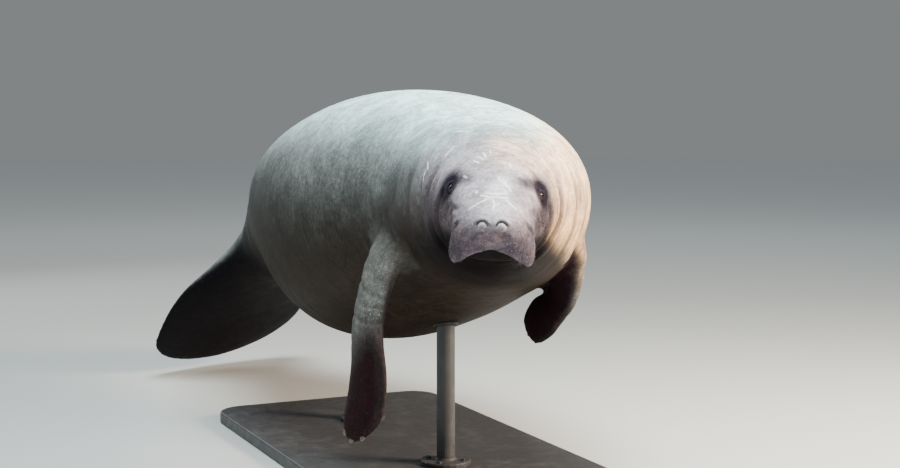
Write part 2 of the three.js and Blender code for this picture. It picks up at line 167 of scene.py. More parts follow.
@dataclass(frozen=True)
class Spine:
    """The line that the body's sections stand on, walked out from the torso both ways."""

    torso_station: float = 1.32
    torso_height: float = 0.775
    pitch: float = 3.0
    roll: float = 6.0
    step: float = 0.01
    bends: tuple[Bend, ...] = (
        Bend(1.11, 0.36, yaw=25, pitch=0, roll=0),
        Bend(0.315, 0.0, yaw=6, pitch=-40, roll=-3),
        Bend(1.5, 2.45, yaw=-5, pitch=24, roll=-8),
        Bend(2.3, 3.0, yaw=-4, pitch=18, roll=-6),
    )

    def frame(self, stations: np.ndarray) -> tuple[np.ndarray, np.ndarray, np.ndarray]:
        """The forward, left and up directions at stations.

        Args:
            stations: Distances along the spine from the snout.

        Returns:
            Three arrays of unit vectors.
        """
        stations = np.asarray(stations, float)
        yaw = np.zeros_like(stations)
        pitch = np.full_like(stations, self.pitch)
        roll = np.full_like(stations, self.roll)
        for bend in self.bends:
            share = smoothstep(stations, bend.start, bend.end)
            yaw = yaw + bend.yaw * share
            pitch = pitch + bend.pitch * share
            roll = roll + bend.roll * share
        y, p, r = np.radians(yaw), np.radians(pitch), np.radians(roll)[..., None]
        forward = np.stack([-np.sin(y) * np.cos(p), -np.cos(y) * np.cos(p), np.sin(p)], -1)
        level = np.stack([np.cos(y), -np.sin(y), np.zeros_like(y)], -1)
        up = np.cross(forward, level)
        return forward, level * np.cos(r) - up * np.sin(r), up * np.cos(r) + level * np.sin(r)

    def walk(self) -> tuple[np.ndarray, np.ndarray]:
        """The spine's stations and points, a step apart."""
        stations = np.arange(0, round(BODY_LENGTH / self.step) + 1) * self.step
        forward = self.frame(stations[:-1] + self.step / 2)[0]
        path = np.vstack([np.zeros(3), np.cumsum(-forward * self.step, axis=0)])
        middle = path[round(self.torso_station / self.step)]
        return stations, path - middle + np.array([0, 0, self.torso_height])

    def point(self, stations: np.ndarray) -> np.ndarray:
        """Points of the spine at stations."""
        places, path = self.walk()
        return np.stack([np.interp(stations, places, path[:, axis]) for axis in range(3)], -1)


@dataclass(frozen=True)
class Swell:
    """A swell, or a hollow, of the face that stands on both sides unless it is on the midline."""

    station: float
    angle: float
    reach: float
    height: float


@dataclass(frozen=True)
class Mouth:
    """The lip line, an arch across the snout, and the chin, which is set back under the lips."""

    crest: float = -0.009
    drop: float = 0.066
    half_width: float = 0.084
    chin_start: float = 0.032
    edge: float = 0.003
    chin: Dome = Dome(0.062, 2.2)

    def line(self, across: np.ndarray) -> np.ndarray:
        """The height of the lip line over the spine, at distances across the snout."""
        return self.crest - self.drop * (across / self.half_width) ** 2


class BodyForm:
    """The body's shape as a surface over station and angle. The angle runs from the crown over the left."""

    SECTIONS = [
        (0.055, 0.085, 0.074, 0.091, 2.5),
        (0.095, 0.092, 0.082, 0.099, 2.4),
        (0.138, 0.101, 0.090, 0.105, 2.3),
        (0.190, 0.113, 0.101, 0.118, 2.2),
        (0.257, 0.138, 0.124, 0.148, 2.1),
        (0.333, 0.170, 0.149, 0.180, 2.1),
        (0.440, 0.212, 0.180, 0.214, 2.1),
        (0.600, 0.266, 0.220, 0.246, 2.1),
        (0.820, 0.326, 0.266, 0.294, 2.1),
        (1.050, 0.374, 0.300, 0.364, 2.1),
        (1.320, 0.394, 0.308, 0.424, 2.05),
        (1.580, 0.372, 0.276, 0.430, 2.05),
        (1.800, 0.322, 0.230, 0.380, 2.05),
        (2.020, 0.256, 0.190, 0.286, 2.05),
        (2.210, 0.200, 0.154, 0.202, 2.0),
        (2.360, 0.170, 0.128, 0.142, 1.9),
        (2.470, 0.178, 0.102, 0.106, 1.8),
        (2.570, 0.222, 0.078, 0.076, 1.7),
        (2.700, 0.294, 0.057, 0.054, 1.6),
        (2.820, 0.326, 0.044, 0.041, 1.6),
        (2.960, 0.336, 0.034, 0.032, 1.6),
    ]
    SWELLS = (
        Swell(0.032, 112, 0.050, 0.008),
        Swell(0.036, 132, 0.034, 0.015),
        Swell(0.034, 60, 0.028, -0.003),
        Swell(0.222, 104, 0.070, 0.009),
        Swell(0.106, 92, 0.030, -0.004),
        Swell(0.166, 60, 0.032, -0.007),
        Swell(0.014, 180, 0.020, -0.006),
    )

    def __init__(self) -> None:
        """Reads the tables and places the swells on the plain surface."""
        self.spine = Spine()
        self.section = TableCurve(self.SECTIONS)
        self.snout = Dome(0.055, 2.5)
        self.tail = Dome(0.230, 2.1)
        self.mouth = Mouth()
        self.swells = []
        for swell in self.SWELLS:
            for sign in (1, -1) if swell.angle < 180 else (1,):
                centre = self.plain(np.array(swell.station), np.radians(sign * swell.angle))
                self.swells.append((swell, centre))

    def plain(self, stations: np.ndarray, angles: np.ndarray) -> np.ndarray:
        """The surface before the face is shaped.

        Args:
            stations: Distances along the spine from the snout.
            angles: Angles from the crown over the left side, in radians.

        Returns:
            Points, with the shape of stations and angles broadcast together.
        """
        stations, angles = np.broadcast_arrays(np.asarray(stations, float), np.asarray(angles, float))
        half_width, above, below, squareness = np.moveaxis(self.section(stations), -1, 0)
        share = self.snout.share(stations) * self.tail.share(BODY_LENGTH - stations)
        _, left, up = self.spine.frame(stations)
        rise = np.where(np.cos(angles) > 0, above, below)
        across = share * half_width * signed_power(np.sin(angles), 2 / squareness)
        height = share * rise * signed_power(np.cos(angles), 2 / squareness)
        return self.spine.point(stations) + left * across[..., None] + up * height[..., None]

    def normal(self, stations: np.ndarray, angles: np.ndarray) -> np.ndarray:
        """Outward directions of the surface, from two short steps over it."""
        step, turn = 0.002, 0.03
        back = self.plain(stations + step, angles) - self.plain(np.maximum(stations - step, 0), angles)
        around = self.plain(stations, angles + turn) - self.plain(stations, angles - turn)
        return unit(np.cross(around, back))

    def skin(self, stations: np.ndarray, angles: np.ndarray, lift: float = 0.0) -> np.ndarray:
        """The surface with the face's swells, lifted outwards by a height."""
        points = self.plain(stations, angles)
        rise = np.full(points.shape[:-1], lift)
        for swell, centre in self.swells:
            away = np.linalg.norm(points - centre, axis=-1)
            rise = rise + swell.height * np.exp(-((away / swell.reach) ** 2))
        return points + self.normal(stations, angles) * rise[..., None]

    def mouthed(self, stations: np.ndarray, angles: np.ndarray) -> np.ndarray:
        """The surface whose part under the lip line is the chin, set back from the lips."""
        points = self.skin(stations, angles)
        _, left, up = self.spine.frame(stations)
        middle = self.spine.point(stations)
        across, height = dots(points - middle, left), dots(points - middle, up)
        under = smoothstep(self.mouth.line(across) - height, -self.mouth.edge, self.mouth.edge)
        under = under * (stations < MOUTH_CORNER)
        start = self.mouth.chin_start
        behind = start + np.clip(stations, 0, MOUTH_CORNER) * (MOUTH_CORNER - start) / MOUTH_CORNER
        centre = self.spine.point(behind)
        drawn_in = self.mouth.chin.share(behind - start)[..., None]
        chin = centre + (self.skin(behind, angles) - centre) * drawn_in
        return points + (chin - points) * under[..., None]

    def place(self, station: float, degrees: float, lift: float = 0.0) -> np.ndarray:
        """One point of the skin, at an angle in degrees."""
        return self.skin(np.array(station), np.radians(degrees), lift)

    def seat(self, station: float, degrees: float, lift: float = 0.0) -> tuple[np.ndarray, ...]:
        """One point of the skin, with the outward, forward and up directions there."""
        forward, _, up = self.spine.frame(np.array(station))
        outward = self.normal(np.array(station), np.radians(degrees))
        return self.place(station, degrees, lift), outward, forward, up

    def coordinates(self, points: np.ndarray) -> tuple[np.ndarray, np.ndarray, np.ndarray]:
        """Where points lie along the straightened body.

        Args:
            points: An array of points.

        Returns:
            Their stations, and their distances to the left of the spine and over it.
        """
        places, path = self.spine.walk()
        nearest = np.empty(len(points), int)
        for start in range(0, len(points), 20000):
            part = points[start : start + 20000]
            away = np.sum(path**2, axis=1) - 2 * part @ path.T
            nearest[start : start + 20000] = np.argmin(away, axis=1)
        forward, left, up = self.spine.frame(places[nearest])
        offset = points - path[nearest]
        return places[nearest] - dots(offset, forward), dots(offset, left), dots(offset, up)

    def depth_share(self, stations: np.ndarray, across: np.ndarray, height: np.ndarray) -> np.ndarray:
        """How far out a point lies in its section, where 1 is the skin."""
        half_width, above, below, squareness = np.moveaxis(self.section(stations), -1, 0)
        rise = np.where(height > 0, above, below)
        level = np.abs(across / half_width) ** squareness + np.abs(height / rise) ** squareness
        return level ** (1 / squareness)


@dataclass(frozen=True)
class FlipperForm:
    """A flipper's shape: its line from inside the shoulder to the fingertips, and its sections."""

    side: Side
    shoulder_angle: float
    line: tuple[tuple[float, float, float], ...]
    blade_angles: tuple[float, float]
    tip: float = 0.15
    rim: float = 0.35
    closeness: float = 1.6

    SECTIONS = [
        (0.00, 0.084, 0.062, 0.000),
        (0.15, 0.074, 0.050, 0.000),
        (0.30, 0.062, 0.039, 0.000),
        (0.45, 0.058, 0.033, 0.004),
        (0.60, 0.066, 0.026, 0.008),
        (0.75, 0.077, 0.020, 0.006),
        (0.88, 0.076, 0.015, -0.006),
        (1.00, 0.066, 0.011, -0.026),
    ]

    def axis(self, body: BodyForm, count: int = 400) -> tuple[np.ndarray, np.ndarray]:
        """The flipper's centre line.

        Args:
            body: The body that it grows from.
            count: How many points to walk it in.

        Returns:
            Points at even steps of length, and the directions there.
        """
        forward, left, up = body.spine.frame(np.array(SHOULDER_STATION))
        joint = body.place(SHOULDER_STATION, self.side.value * self.shoulder_angle)
        steps = np.array(self.line)
        stops = joint + steps[:, :1] * forward + steps[:, 1:2] * left * self.side.value + steps[:, 2:] * up
        stops = np.vstack([2 * stops[0] - stops[1], stops, 2 * stops[-1] - stops[-2]])
        walked = []
        for a, b, c, d in zip(stops, stops[1:], stops[2:], stops[3:]):
            ab, bc, cd = (math.sqrt(np.linalg.norm(q - p)) for p, q in ((a, b), (b, c), (c, d)))
            first = ((b - a) / ab - (c - a) / (ab + bc) + (c - b) / bc) * bc
            last = ((c - b) / bc - (d - b) / (bc + cd) + (d - c) / cd) * bc
            t = np.linspace(0, 1, count, endpoint=False)[:, None]
            rise = b + first * t + (3 * (c - b) - 2 * first - last) * t**2
            walked.append(rise + (2 * (b - c) + first + last) * t**3)
        dense = np.vstack([*walked, stops[-2]])
        lengths = np.concatenate([[0], np.cumsum(np.linalg.norm(np.diff(dense, axis=0), axis=1))])
        even = np.linspace(0, lengths[-1], count)
        points = np.stack([np.interp(even, lengths, dense[:, i]) for i in range(3)], -1)
        return points, unit(np.gradient(points, axis=0))

    def frame(self, body: BodyForm, shares: np.ndarray) -> tuple[np.ndarray, ...]:
        """The centre, tangent, leading and back directions at shares of the length."""
        points, tangents = self.axis(body)
        even = np.linspace(0, 1, len(points))
        centre = np.stack([np.interp(shares, even, points[:, i]) for i in range(3)], -1)
        tangent = unit(np.stack([np.interp(shares, even, tangents[:, i]) for i in range(3)], -1))
        forward = body.spine.frame(np.array(SHOULDER_STATION))[0]
        lead = unit(forward - dots(tangent, forward)[..., None] * tangent)
        low, high = self.blade_angles
        turn = (np.radians(low + (high - low) * np.asarray(shares)) * -self.side.value)[..., None]
        lead = lead * np.cos(turn) + np.cross(tangent, lead) * np.sin(turn)
        return centre, tangent, lead, np.cross(tangent, lead) * -self.side.value

    def rings(self, body: BodyForm, sides: int, count: int) -> np.ndarray:
        """Rings of points from the shoulder to the tip."""
        tip_shares = 1 - Dome(self.tip, 2).steps(count // 4)[::-1]
        shares = np.concatenate([np.linspace(0, 1 - self.tip, count), tip_shares[1:]])
        around = self.side.value * 2 * math.pi * np.arange(sides) / sides
        return self.skin(body, shares[:, None], around[None, :])

    def skin(self, body: BodyForm, shares: np.ndarray, around: np.ndarray) -> np.ndarray:
        """Points of the surface.

        Args:
            body: The body that it grows from.
            shares: Shares of the length.
            around: Angles round the section, from the back of the hand to the leading edge, in radians.

        Returns:
            Points, with the shape of shares and angles broadcast together.
        """
        shares, around = np.broadcast_arrays(np.asarray(shares, float), np.asarray(around, float))
        centre, _, lead, back = self.frame(body, shares)
        half_chord, half_thickness, shift = np.moveaxis(TableCurve(self.SECTIONS)(shares), -1, 0)
        off = Dome(self.tip, 2).share(1 - shares)
        chord = shift + half_chord * off * np.sin(around)
        thick = half_thickness * (self.rim + (1 - self.rim) * off) * np.cos(around)
        return centre + lead * chord[..., None] + back * thick[..., None]

    def coordinates(self, body: BodyForm, points: np.ndarray) -> tuple[np.ndarray, ...]:
        """Where points lie in the flipper.

        Args:
            body: The body that it grows from.
            points: An array of points.

        Returns:
            Shares of the length, and the places towards the leading edge and the back, where 1 is the skin.
        """
        shares = np.linspace(0, 1, 120)
        centre, _, lead, back = self.frame(body, shares)
        away = np.sum(centre**2, axis=1) - 2 * points @ centre.T
        nearest = np.argmin(away, axis=1)
        half_chord, half_thickness, shift = TableCurve(self.SECTIONS)(shares[nearest]).T
        offset = points - centre[nearest]
        chord = (dots(offset, lead[nearest]) - shift) / half_chord
        return shares[nearest], chord, dots(offset, back[nearest]) / half_thickness

    def zone(self, body: BodyForm, points: np.ndarray) -> tuple[np.ndarray, ...]:
        """The coordinates of points, and which of them are close round the flipper."""
        share, chord, thick = self.coordinates(body, points)
        return share, chord, thick, np.hypot(chord, thick) < self.closeness


FLIPPERS = (
    FlipperForm(
        Side.RIGHT, 122,
        line=((0, -0.12, 0.06), (0.005, -0.015, -0.01), (0.01, 0.02, -0.11), (0.02, 0.035, -0.22),
              (0.03, 0.024, -0.33), (0.035, 0.02, -0.42), (0.032, 0.028, -0.512)),
        blade_angles=(-12, -38),
    ),
    FlipperForm(
        Side.LEFT, 112,
        line=((0.02, -0.12, 0.04), (-0.01, -0.03, -0.005), (-0.045, -0.012, -0.065), (-0.09, -0.012, -0.125),
              (-0.14, -0.032, -0.178), (-0.188, -0.054, -0.220), (-0.232, -0.076, -0.252)),
        blade_angles=(0, 28),
    ),
)


def select_only(obj: Piece) -> None:
    """Makes a piece the only one that operators act on."""
    bpy.ops.object.select_all(action="DESELECT")
    obj.select_set(True)
    bpy.context.view_layer.objects.active = obj


def new_mesh(name: str, points: np.ndarray, faces: list[tuple[int, ...]]) -> Piece:
    """A mesh object from points and faces.

    Args:
        name: The piece's name.
        points: Its vertices.
        faces: Lists of vertex numbers, anticlockwise from outside.

    Returns:
        The object, linked to the scene.
    """
    mesh = bpy.data.meshes.new(name)
    mesh.from_pydata(np.asarray(points).tolist(), [], faces)
    obj = bpy.data.objects.new(name, mesh)
    bpy.context.scene.collection.objects.link(obj)
    return obj


def add_ball(centre: np.ndarray, radius: float, segments: int, rings: int) -> Piece:
    """A ball, as the active object."""
    bpy.ops.object.select_all(action="DESELECT")
    bpy.ops.mesh.primitive_uv_sphere_add(
        segments=segments, ring_count=rings, radius=radius, location=Vector(centre),
    )
    return bpy.context.object


def ring_mesh(name: str, rings: np.ndarray, start: np.ndarray, end: np.ndarray) -> Piece:
    """A closed surface over rings of points, with a tip at either end."""
    count, sides = rings.shape[:2]
    points = np.vstack([start[None], rings.reshape(-1, 3), end[None]])
    faces = []
    for side in range(sides):
        other = (side + 1) % sides
        faces.append((0, 1 + other, 1 + side))
        for ring in range(count - 1):
            a, b = 1 + ring * sides, 1 + (ring + 1) * sides
            faces.append((a + side, a + other, b + other, b + side))
        faces.append((len(points) - 1, 1 + (count - 1) * sides + side, 1 + (count - 1) * sides + other))
    return new_mesh(name, points, faces)


def vertex_points(obj: Piece) -> np.ndarray:
    """A mesh's vertices as an array."""
    points = np.empty(len(obj.data.vertices) * 3, np.float32)
    obj.data.vertices.foreach_get("co", points)
    return points.reshape(-1, 3).astype(float)


def vertex_normals(obj: Piece) -> np.ndarray:
    """A mesh's vertex normals as an array."""
    normals = np.empty(len(obj.data.vertices) * 3, np.float32)
    obj.data.vertex_normals.foreach_get("vector", normals)
    return normals.reshape(-1, 3).astype(float)


def move_vertices(obj: Piece, points: np.ndarray) -> None:
    """Puts a mesh's vertices at new points."""
    obj.data.vertices.foreach_set("co", points.astype(np.float32).ravel())
    obj.data.update()


def apply_modifier(obj: Piece, kind: str, **settings: object) -> None:
    """Adds a modifier with its settings and applies it.

    Args:
        obj: The mesh object.
        kind: The modifier's type.
        settings: Its properties by name.
    """
    select_only(obj)
    bpy.ops.object.modifier_add(type=kind)
    modifier = obj.modifiers[-1]
    for key, value in settings.items():
        setattr(modifier, key, value)
    bpy.ops.object.modifier_apply(modifier=modifier.name)


def weigh_vertices(obj: Piece, name: str, weights: np.ndarray) -> None:
    """Makes a vertex group from an array of weights, in steps of a twentieth."""
    group = obj.vertex_groups.get(name) or obj.vertex_groups.new(name=name)
    levels = np.round(np.clip(weights, 0, 1) * 20).astype(int)
    group.remove(list(range(len(weights))))
    for level in range(1, 21):
        group.add(np.nonzero(levels == level)[0].tolist(), level / 20, "REPLACE")


def smooth_vertices(obj: Piece, weights: np.ndarray, rounds: int, factor: float = 0.6) -> None:
    """Evens out a mesh where its weights are high."""
    weigh_vertices(obj, "smoothing", weights)
    apply_modifier(obj, "SMOOTH", factor=factor, iterations=rounds, vertex_group="smoothing")
    obj.vertex_groups.remove(obj.vertex_groups["smoothing"])


def select_elements(kind: str, action: str) -> None:
    """Selects or clears the elements of one kind on the active mesh."""
    bpy.ops.object.mode_set(mode="EDIT")
    bpy.ops.mesh.select_mode(type=kind)
    bpy.ops.mesh.select_all(action=action)
    bpy.ops.object.mode_set(mode="OBJECT")


def subdivide_vertices(obj: Piece, chosen: np.ndarray) -> None:
    """Splits the faces whose corners are all chosen."""
    select_only(obj)
    select_elements("VERT", "DESELECT")
    obj.data.vertices.foreach_set("select", chosen)
    bpy.ops.object.mode_set(mode="EDIT")
    bpy.ops.mesh.select_mode(type="FACE")
    bpy.ops.mesh.subdivide(number_cuts=1, smoothness=0)
    bpy.ops.object.mode_set(mode="OBJECT")


def store_values(obj: Piece, name: str, values: np.ndarray) -> None:
    """Keeps a number, or a vector, for each vertex as an attribute that materials can read."""
    kind, field_name = ("FLOAT", "value") if values.ndim == 1 else ("FLOAT_VECTOR", "vector")
    attribute = obj.data.attributes.new(name, kind, "POINT")
    attribute.data.foreach_set(field_name, values.astype(np.float32).ravel())


def away_from_path(points: np.ndarray, path: np.ndarray) -> tuple[np.ndarray, np.ndarray]:
    """How far points lie from a path.

    Args:
        points: The points.
        path: The path's own points.

    Returns:
        The distances, and the shares of the path's length at the nearest places.
    """
    best = np.full(len(points), np.inf)
    share = np.zeros(len(points))
    lengths = np.linalg.norm(np.diff(path, axis=0), axis=1)
    run = np.concatenate([[0], np.cumsum(lengths)]) / max(lengths.sum(), 1e-9)
    for i, (a, b) in enumerate(zip(path, path[1:])):
        t = np.clip((points - a) @ (b - a) / max(np.dot(b - a, b - a), 1e-12), 0, 1)
        away = np.linalg.norm(points - a - t[:, None] * (b - a), axis=1)
        nearer = away < best
        best = np.where(nearer, away, best)
        share = np.where(nearer, run[i] + t * (run[i + 1] - run[i]), share)
    return best, share


@dataclass(frozen=True)
class Fold:
    """A groove of the skin along a line of stations and angles, with a soft roll beside it."""

    line: tuple[tuple[float, float], ...]
    width: float
    depth: float
    roll: float = 0.3
    sides: tuple[Side, ...] = (Side.LEFT, Side.RIGHT)

    def paths(self, body: BodyForm) -> list[np.ndarray]:
        """The groove's line over the skin, on each side that has it."""
        curve = TableCurve([(i, *stop) for i, stop in enumerate(self.line)])
        stops = curve(np.linspace(0, len(self.line) - 1, 24))
        return [body.skin(stops[:, 0], np.radians(side.value * stops[:, 1])) for side in self.sides]


@dataclass(frozen=True)
class LimbFold:
    """A groove round a flipper, from one angle of its section to another, in degrees."""

    side: Side
    share: float
    start: float
    end: float
    slant: float
    width: float
    depth: float
    roll: float = 0.3

    def paths(self, body: BodyForm) -> list[np.ndarray]:
        """The groove's line over the flipper."""
        flipper = next(each for each in FLIPPERS if each.side is self.side)
        around = np.linspace(self.start, self.end, 28)
        waver = 0.006 * np.sin(np.radians(around * 3.1))
        shares = self.share + self.slant * np.sin(np.radians(around)) + waver
        return [flipper.skin(body, shares, np.radians(around))]


@dataclass(frozen=True)
class Eye:
    """An eye: its place, the ball and the lids round it."""

    station: float = 0.176
    angle: float = 70.0
    radius: float = 0.012
    depth: float = 0.008
    reach: float = 0.060
    opening: tuple[float, float] = (1.22, 0.82)
    ripple: float = 0.0003
    spoke: float = 0.0005
    lid_radii: tuple[float, ...] = (
        0, 0.0050, 0.0062, 0.0078, 0.0105, 0.0140, 0.0175, 0.0205, 0.0245, 0.0290, 0.036,
    )
    lid_heights: tuple[float, ...] = (
        -0.009, -0.008, 0.0010, 0.0026, 0.0034, 0.0027, 0.0012, 0.0003, 0.0006, 0.0001, 0,
    )


@dataclass(frozen=True)
class Nostril:
    """A nostril: a crescent slit over a round valve."""

    station: float = 0.0125
    angle: float = 14.6
    slit_radius: float = 0.0118
    slit_width: float = 0.0018
    slit_depth: float = 0.009
    slit_span: float = 92.0
    reach: float = 0.045
    moat_depth: float = 0.0012
    valve_rise: float = 0.0048
    rim_rise: float = 0.0020
    rim_width: float = 0.0035
    rim_gap: float = 0.006


@dataclass(frozen=True)
class Web:
    """A ball that fills the corner between the chest and the left flipper, as the skin does there."""

    station: float = 0.770
    angle: float = 136.0
    radius: float = 0.022
    lift: float = 0.008

    def centre(self, body: BodyForm) -> np.ndarray:
        """The ball's centre, just outside the body."""
        return body.place(self.station, self.angle, self.lift)


FOLDS = (
    Fold(((0.036, 50), (0.039, 62), (0.045, 76), (0.057, 92), (0.080, 108), (0.104, 120)), 0.005, 0.006, 0.2),
    Fold(((0.066, 56), (0.090, 70), (0.118, 86), (0.140, 102)), 0.006, 0.0030),
    Fold(((0.104, 74), (0.132, 84), (0.160, 98), (0.176, 114)), 0.007, 0.0030),
    Fold(((0.196, 74), (0.206, 88), (0.222, 102), (0.240, 118), (0.256, 136)), 0.009, 0.0065),
    Fold(((0.252, 66), (0.258, 84), (0.264, 104), (0.268, 126)), 0.008, 0.0035),
    Fold(((0.296, 54), (0.290, 78), (0.294, 98), (0.287, 118), (0.290, 138), (0.300, 160)), 0.012, 0.0095),
    Fold(((0.336, 72), (0.344, 90), (0.338, 112), (0.342, 134)), 0.010, 0.0028),
    Fold(((0.404, 56), (0.424, 84), (0.432, 116), (0.446, 150)), 0.016, 0.0050),
    Fold(((0.515, 70), (0.522, 92), (0.536, 112)), 0.018, 0.0030),
    Fold(((0.590, 98), (0.575, 114), (0.580, 130), (0.600, 142)), 0.011, 0.0040),
    Fold(((0.735, 100), (0.752, 116), (0.745, 132), (0.728, 144)), 0.012, 0.0040),
    Fold(((0.790, 112), (0.805, 126), (0.795, 140)), 0.010, 0.0026),
    Fold(((0.120, 176), (0.128, 160), (0.124, 146)), 0.006, 0.0030),
    Fold(((0.170, 178), (0.176, 160), (0.172, 142)), 0.007, 0.0035),
    Fold(((0.225, 178), (0.230, 160), (0.226, 146)), 0.009, 0.0040),
    Fold(((0.020, 180), (0.010, 178), (0.004, 176)), 0.004, 0.0030, 0.2, (Side.LEFT,)),
    Fold(((2.120, 20), (2.140, 70), (2.150, 120), (2.140, 165)), 0.022, 0.0060),
    Fold(((2.230, 24), (2.250, 70), (2.260, 120), (2.250, 160)), 0.018, 0.0050),
    Fold(((2.330, 30), (2.345, 70), (2.350, 120)), 0.014, 0.0040),
)

LIMB_FOLDS = tuple(
    LimbFold(side, share, -150, 150, slant, width, depth)
    for side in Side
    for share, slant, width, depth in (
        (0.30, 0.050, 0.012, 0.0022), (0.385, 0.030, 0.005, 0.0024), (0.44, 0.022, 0.006, 0.0010),
        (0.505, 0.014, 0.005, 0.0022), (0.60, 0.012, 0.006, 0.0010),
    )
)

# The dusky band from each eye up to the brow, as stations and angles.
EYE_BAND = ((0.182, 76), (0.178, 62), (0.166, 49), (0.141, 37))

# The crest of the bridge, where a painted highlight makes the skin brightest.
BRIDGE = ((0.040, 1), (0.075, 2), (0.115, 6))

# Pale scars of the bridge, brow and neck: their line of stations and angles, and their width.
SCARS = (
    (((0.047, 0), (0.058, 0.5), (0.072, -0.5)), 0.0028),
    (((0.083, -15), (0.078, -4), (0.080, 15)), 0.0036),
    (((0.088, -9), (0.086, 2), (0.089, 10)), 0.0020),
    (((0.074, -6), (0.064, -18), (0.054, -33)), 0.0025),
    (((0.076, 12), (0.066, 20), (0.057, 31)), 0.0025),
    (((0.133, 1), (0.116, 8), (0.099, 18)), 0.0030),
    (((0.128, 6), (0.112, 14)), 0.0016),
    (((0.096, -21), (0.090, -22)), 0.0030),
    (((0.215, -22), (0.200, -16)), 0.0022),
    (((0.229, -16), (0.206, -13)), 0.0026),
    (((0.203, -27), (0.188, -21)), 0.0028),
    (((0.236, -9), (0.222, -8)), 0.0020),
    (((0.190, 10), (0.174, 13)), 0.0024),
    (((0.262, -13), (0.245, 2), (0.240, 12)), 0.0024),
    (((0.282, 6), (0.268, 20)), 0.0020),
    (((0.168, -44), (0.150, -38)), 0.0020),
    (((0.320, -38), (0.300, -52)), 0.0034),
    (((0.360, -64), (0.335, -70)), 0.0032),
    (((0.345, -72), (0.338, -84)), 0.0026),
    (((0.420, -30), (0.390, -22)), 0.0036),
    (((0.300, 30), (0.285, 46)), 0.0030),
    (((0.350, 60), (0.320, 72), (0.325, 84)), 0.0036),
)


@dataclass(frozen=True)
class Lie:
    """Where points lie along the straightened body."""

    points: np.ndarray
    stations: np.ndarray
    across: np.ndarray
    height: np.ndarray

    @property
    def bearing(self) -> np.ndarray:
        """Angles from the crown over the left side, in degrees."""
        return np.degrees(np.arctan2(self.across, self.height))

    def near(self, point: np.ndarray, far: float, close: float) -> np.ndarray:
        """How near each point is to one point, from 0 at the far distance to 1 at the close one."""
        return smoothstep(np.linalg.norm(self.points - point, axis=1), far, close)


